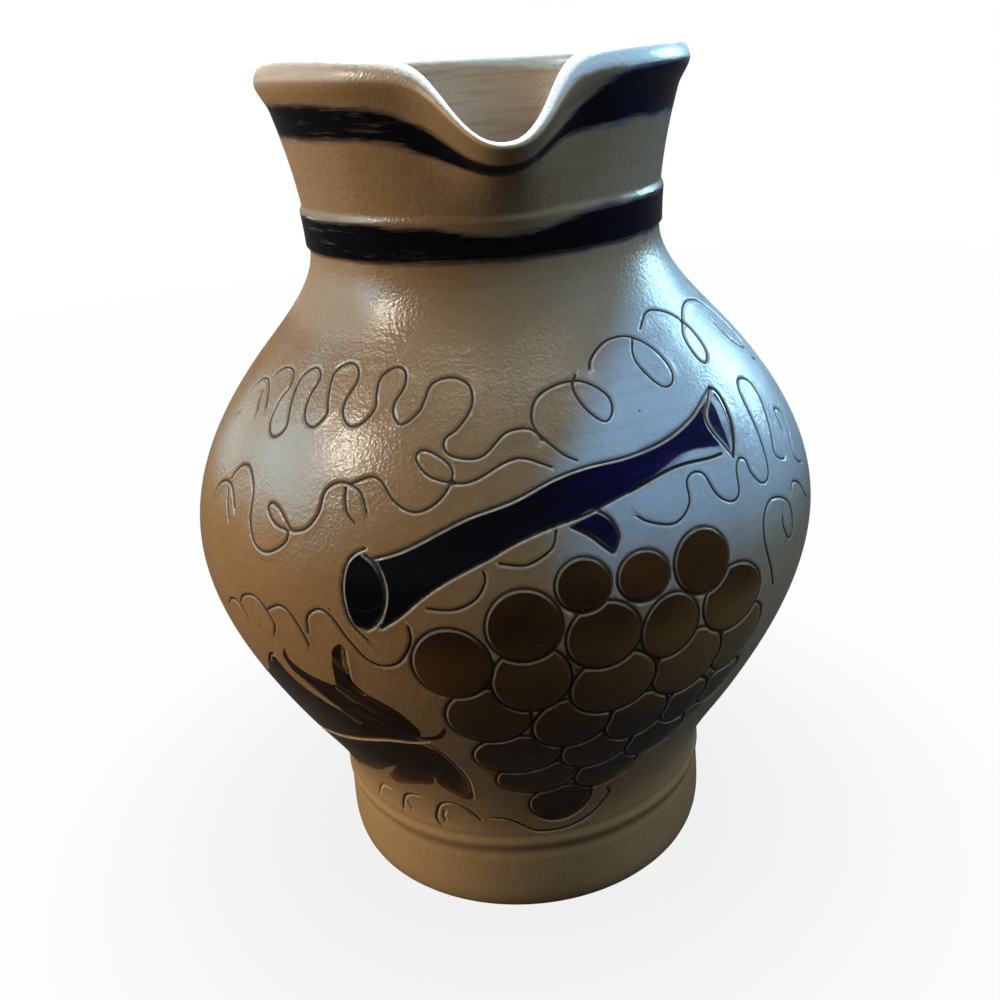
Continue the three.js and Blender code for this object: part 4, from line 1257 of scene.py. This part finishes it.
# Photograph's camera: distance and height of the eye, its turn round the jug, where it looks, and its lens
CAMERA_DISTANCE, CAMERA_HEIGHT, CAMERA_TURN = 312.75, 242.14, -6.6
CAMERA_PITCH, CAMERA_ROLL, CAMERA_YAW = 22.79, -4.474, -0.266
CAMERA_LENS, CAMERA_NEAR = 38.72, 0.01


def toward(azimuth, elevation):
    """Unit vector: azimuth from the photograph's camera round to the right, elevation above the table."""
    a, e = math.radians(azimuth + CAMERA_TURN), math.radians(elevation)
    return Vector((math.sin(a) * math.cos(e), -math.cos(a) * math.cos(e), math.sin(e)))


def make_camera():
    pitch, roll, yaw = (math.radians(v) for v in (CAMERA_PITCH, CAMERA_ROLL, CAMERA_YAW))
    ahead = Vector((math.sin(yaw) * math.cos(pitch), math.cos(yaw) * math.cos(pitch), -math.sin(pitch)))
    right = ahead.cross(Vector((0, 0, 1))).normalized()
    up = right.cross(ahead)
    turned_right = math.cos(roll) * right + math.sin(roll) * up
    turned_up = -math.sin(roll) * right + math.cos(roll) * up
    axes = Matrix((turned_right, turned_up, -ahead)).transposed().to_4x4()
    axes.translation = Vector((0, -CAMERA_DISTANCE, CAMERA_HEIGHT)) * MM
    camera = bpy.data.objects.new("camera", bpy.data.cameras.new("camera"))
    camera.data.lens = CAMERA_LENS
    camera.data.clip_start = CAMERA_NEAR
    camera.matrix_world = Matrix.Rotation(math.radians(CAMERA_TURN), 4, "Z") @ axes
    bpy.context.scene.collection.objects.link(camera)
    bpy.context.scene.camera = camera


# Lamps, all turned to one point: name, azimuth and elevation in degrees, distance, size, power, colour
AIM = Vector((0, 0, 0.13))
SKY_BLUE = (0.84, 0.95, 1.0)
FILLS = (
    ("key", -86, 12, 1.0, (0.6, 0.6), 9.2, (1.0, 0.83, 0.6)),
    ("top_fill", -15, 62, 1.0, (0.7, 0.5), 0.8, (1.0, 0.9, 0.78)),
    ("right_fill", 76, 40, 1.0, (0.5, 0.5), 7.4, (0.5, 0.76, 1.0)),
    ("back_fill", 178, 48, 1.0, (0.6, 0.5), 5.5, (0.86, 0.95, 1.0)),
)
WINDOWS = (
    ("key_spark", -72, 38, 0.9, (0.07, 0.055), 7.0, (1.0, 0.93, 0.78)),
    ("left_window", -92, 23, 1.1, (0.8, 0.44), 13.5, (0.38, 0.79, 1.0)),
    ("low_window", -126, 6, 1.1, (0.4, 0.3), 1.3, (0.5, 0.9, 1.0)),
    ("right_window", 122, 19, 1.0, (0.26, 0.38), 9.6, (0.5, 0.88, 1.0)),
    ("back_top", 178, 42, 1.0, (1.0, 0.7), 34.0, SKY_BLUE),
    ("top_sky", 180, 84, 1.0, (0.9, 0.8), 34.0, SKY_BLUE),
)


def soft_box(name, azimuth, elevation, distance, size, power, colour, glossy):
    """A soft lamp that shows in the gloss alone or lights the surface alone."""
    data = bpy.data.lights.new(name, "AREA")
    data.shape = "RECTANGLE"
    data.size, data.size_y = size
    data.energy = power
    data.color = colour
    lamp = bpy.data.objects.new(name, data)
    lamp.location = AIM + toward(azimuth, elevation) * distance
    lamp.rotation_euler = (AIM - lamp.location).to_track_quat("-Z", "Y").to_euler()
    lamp.visible_glossy = glossy
    lamp.visible_diffuse = not glossy
    lamp.visible_camera = False
    bpy.context.scene.collection.objects.link(lamp)


def make_lights():
    for lamp in FILLS:
        soft_box(*lamp, glossy=False)
    for lamp in WINDOWS:
        soft_box(*lamp, glossy=True)


# Levels of the background, and how much of it mirrors show. The sky fades by the sine of the elevation, the
# floor by the distance in metres.
PALE_LEVEL, DIM_LEVEL, AMBIENT, MIRROR_LEVEL = 1.0, 0.1, 0.1, 0.08
SKY_FADE = (0.16, 0.5)
FLOOR_GREY = (0.09, 0.09, 0.09, 1)
# Painted shadow: the floor's white glow is dimmer near the jug, from the first level at the first distance to
# the second at the second.
FLOOR_GLOW_PAINTED_SHADOW, PAINTED_SHADOW_REACH = (0.86, 0.99), (0.05, 0.19)
FLOOR_FADE = (0.12, 1.1)
FLOOR_SIDE = 30000


def background_rays(n):
    """1 for camera and glass rays, which show the background, and less for mirror rays."""
    straight, mirrored, through = (
        n.add("LightPath", {}, name) for name in ("Is Camera Ray", "Is Glossy Ray", "Is Transmission Ray"))
    return n.most(n.most(straight, through), mirrored * MIRROR_LEVEL)


def make_world():
    """A white horizon that fades to a dim sky where the background shows, and a low even light otherwise."""
    world = bpy.data.worlds.new("studio")
    bpy.context.scene.world = world
    n = Nodes(world)
    _, _, up = n.split(n.coordinates("Generated"))
    shown = n.ramp(up, *SKY_FADE, PALE_LEVEL, DIM_LEVEL)
    strength = n.add("Mix", {"Factor": background_rays(n), "A": AMBIENT, "B": shown})
    n.finish(n.add("Background", {"Color": WHITE, "Strength": strength}))


def make_floor():
    """A pale floor that keeps the jug's shadow near it, with a painted shadow where its glow is dimmer close
    to the jug, and glows white further out.
    """
    n = Nodes(bpy.data.materials.new("pale_floor"))
    distance = n.add("VectorMath", {0: n.coordinates()}, "Value", operation="LENGTH")
    seen = n.add("LightPath", {}, "Is Camera Ray")
    far = n.most(n.ramp(distance, *FLOOR_FADE), seen * n.ramp(distance, *PAINTED_SHADOW_REACH, *FLOOR_GLOW_PAINTED_SHADOW))
    near = n.add("BsdfDiffuse", {"Color": FLOOR_GREY, "Roughness": 0.0})
    glow = n.add("Emission", {"Color": WHITE, "Strength": background_rays(n) * PALE_LEVEL})
    pale = n.finish(n.add("MixShader", {0: far, 1: near, 2: glow}))
    corners = [(x * FLOOR_SIDE, y * FLOOR_SIDE, 0) for x, y in ((-1, -1), (1, -1), (1, 1), (-1, 1))]
    new_object("floor", corners, [(0, 1, 2, 3)], pale)


make_camera()

body = make_body(body_material())
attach(body, "root")
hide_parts("thrown_body")

handle = make_handle(handle_material())
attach(handle, "root")
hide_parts("pulled_handle")

make_floor()
make_world()
make_lights()
bpy.context.scene.view_settings.view_transform = "Standard"


def plain(box):
    return [[float(value) for value in corner] for corner in box]
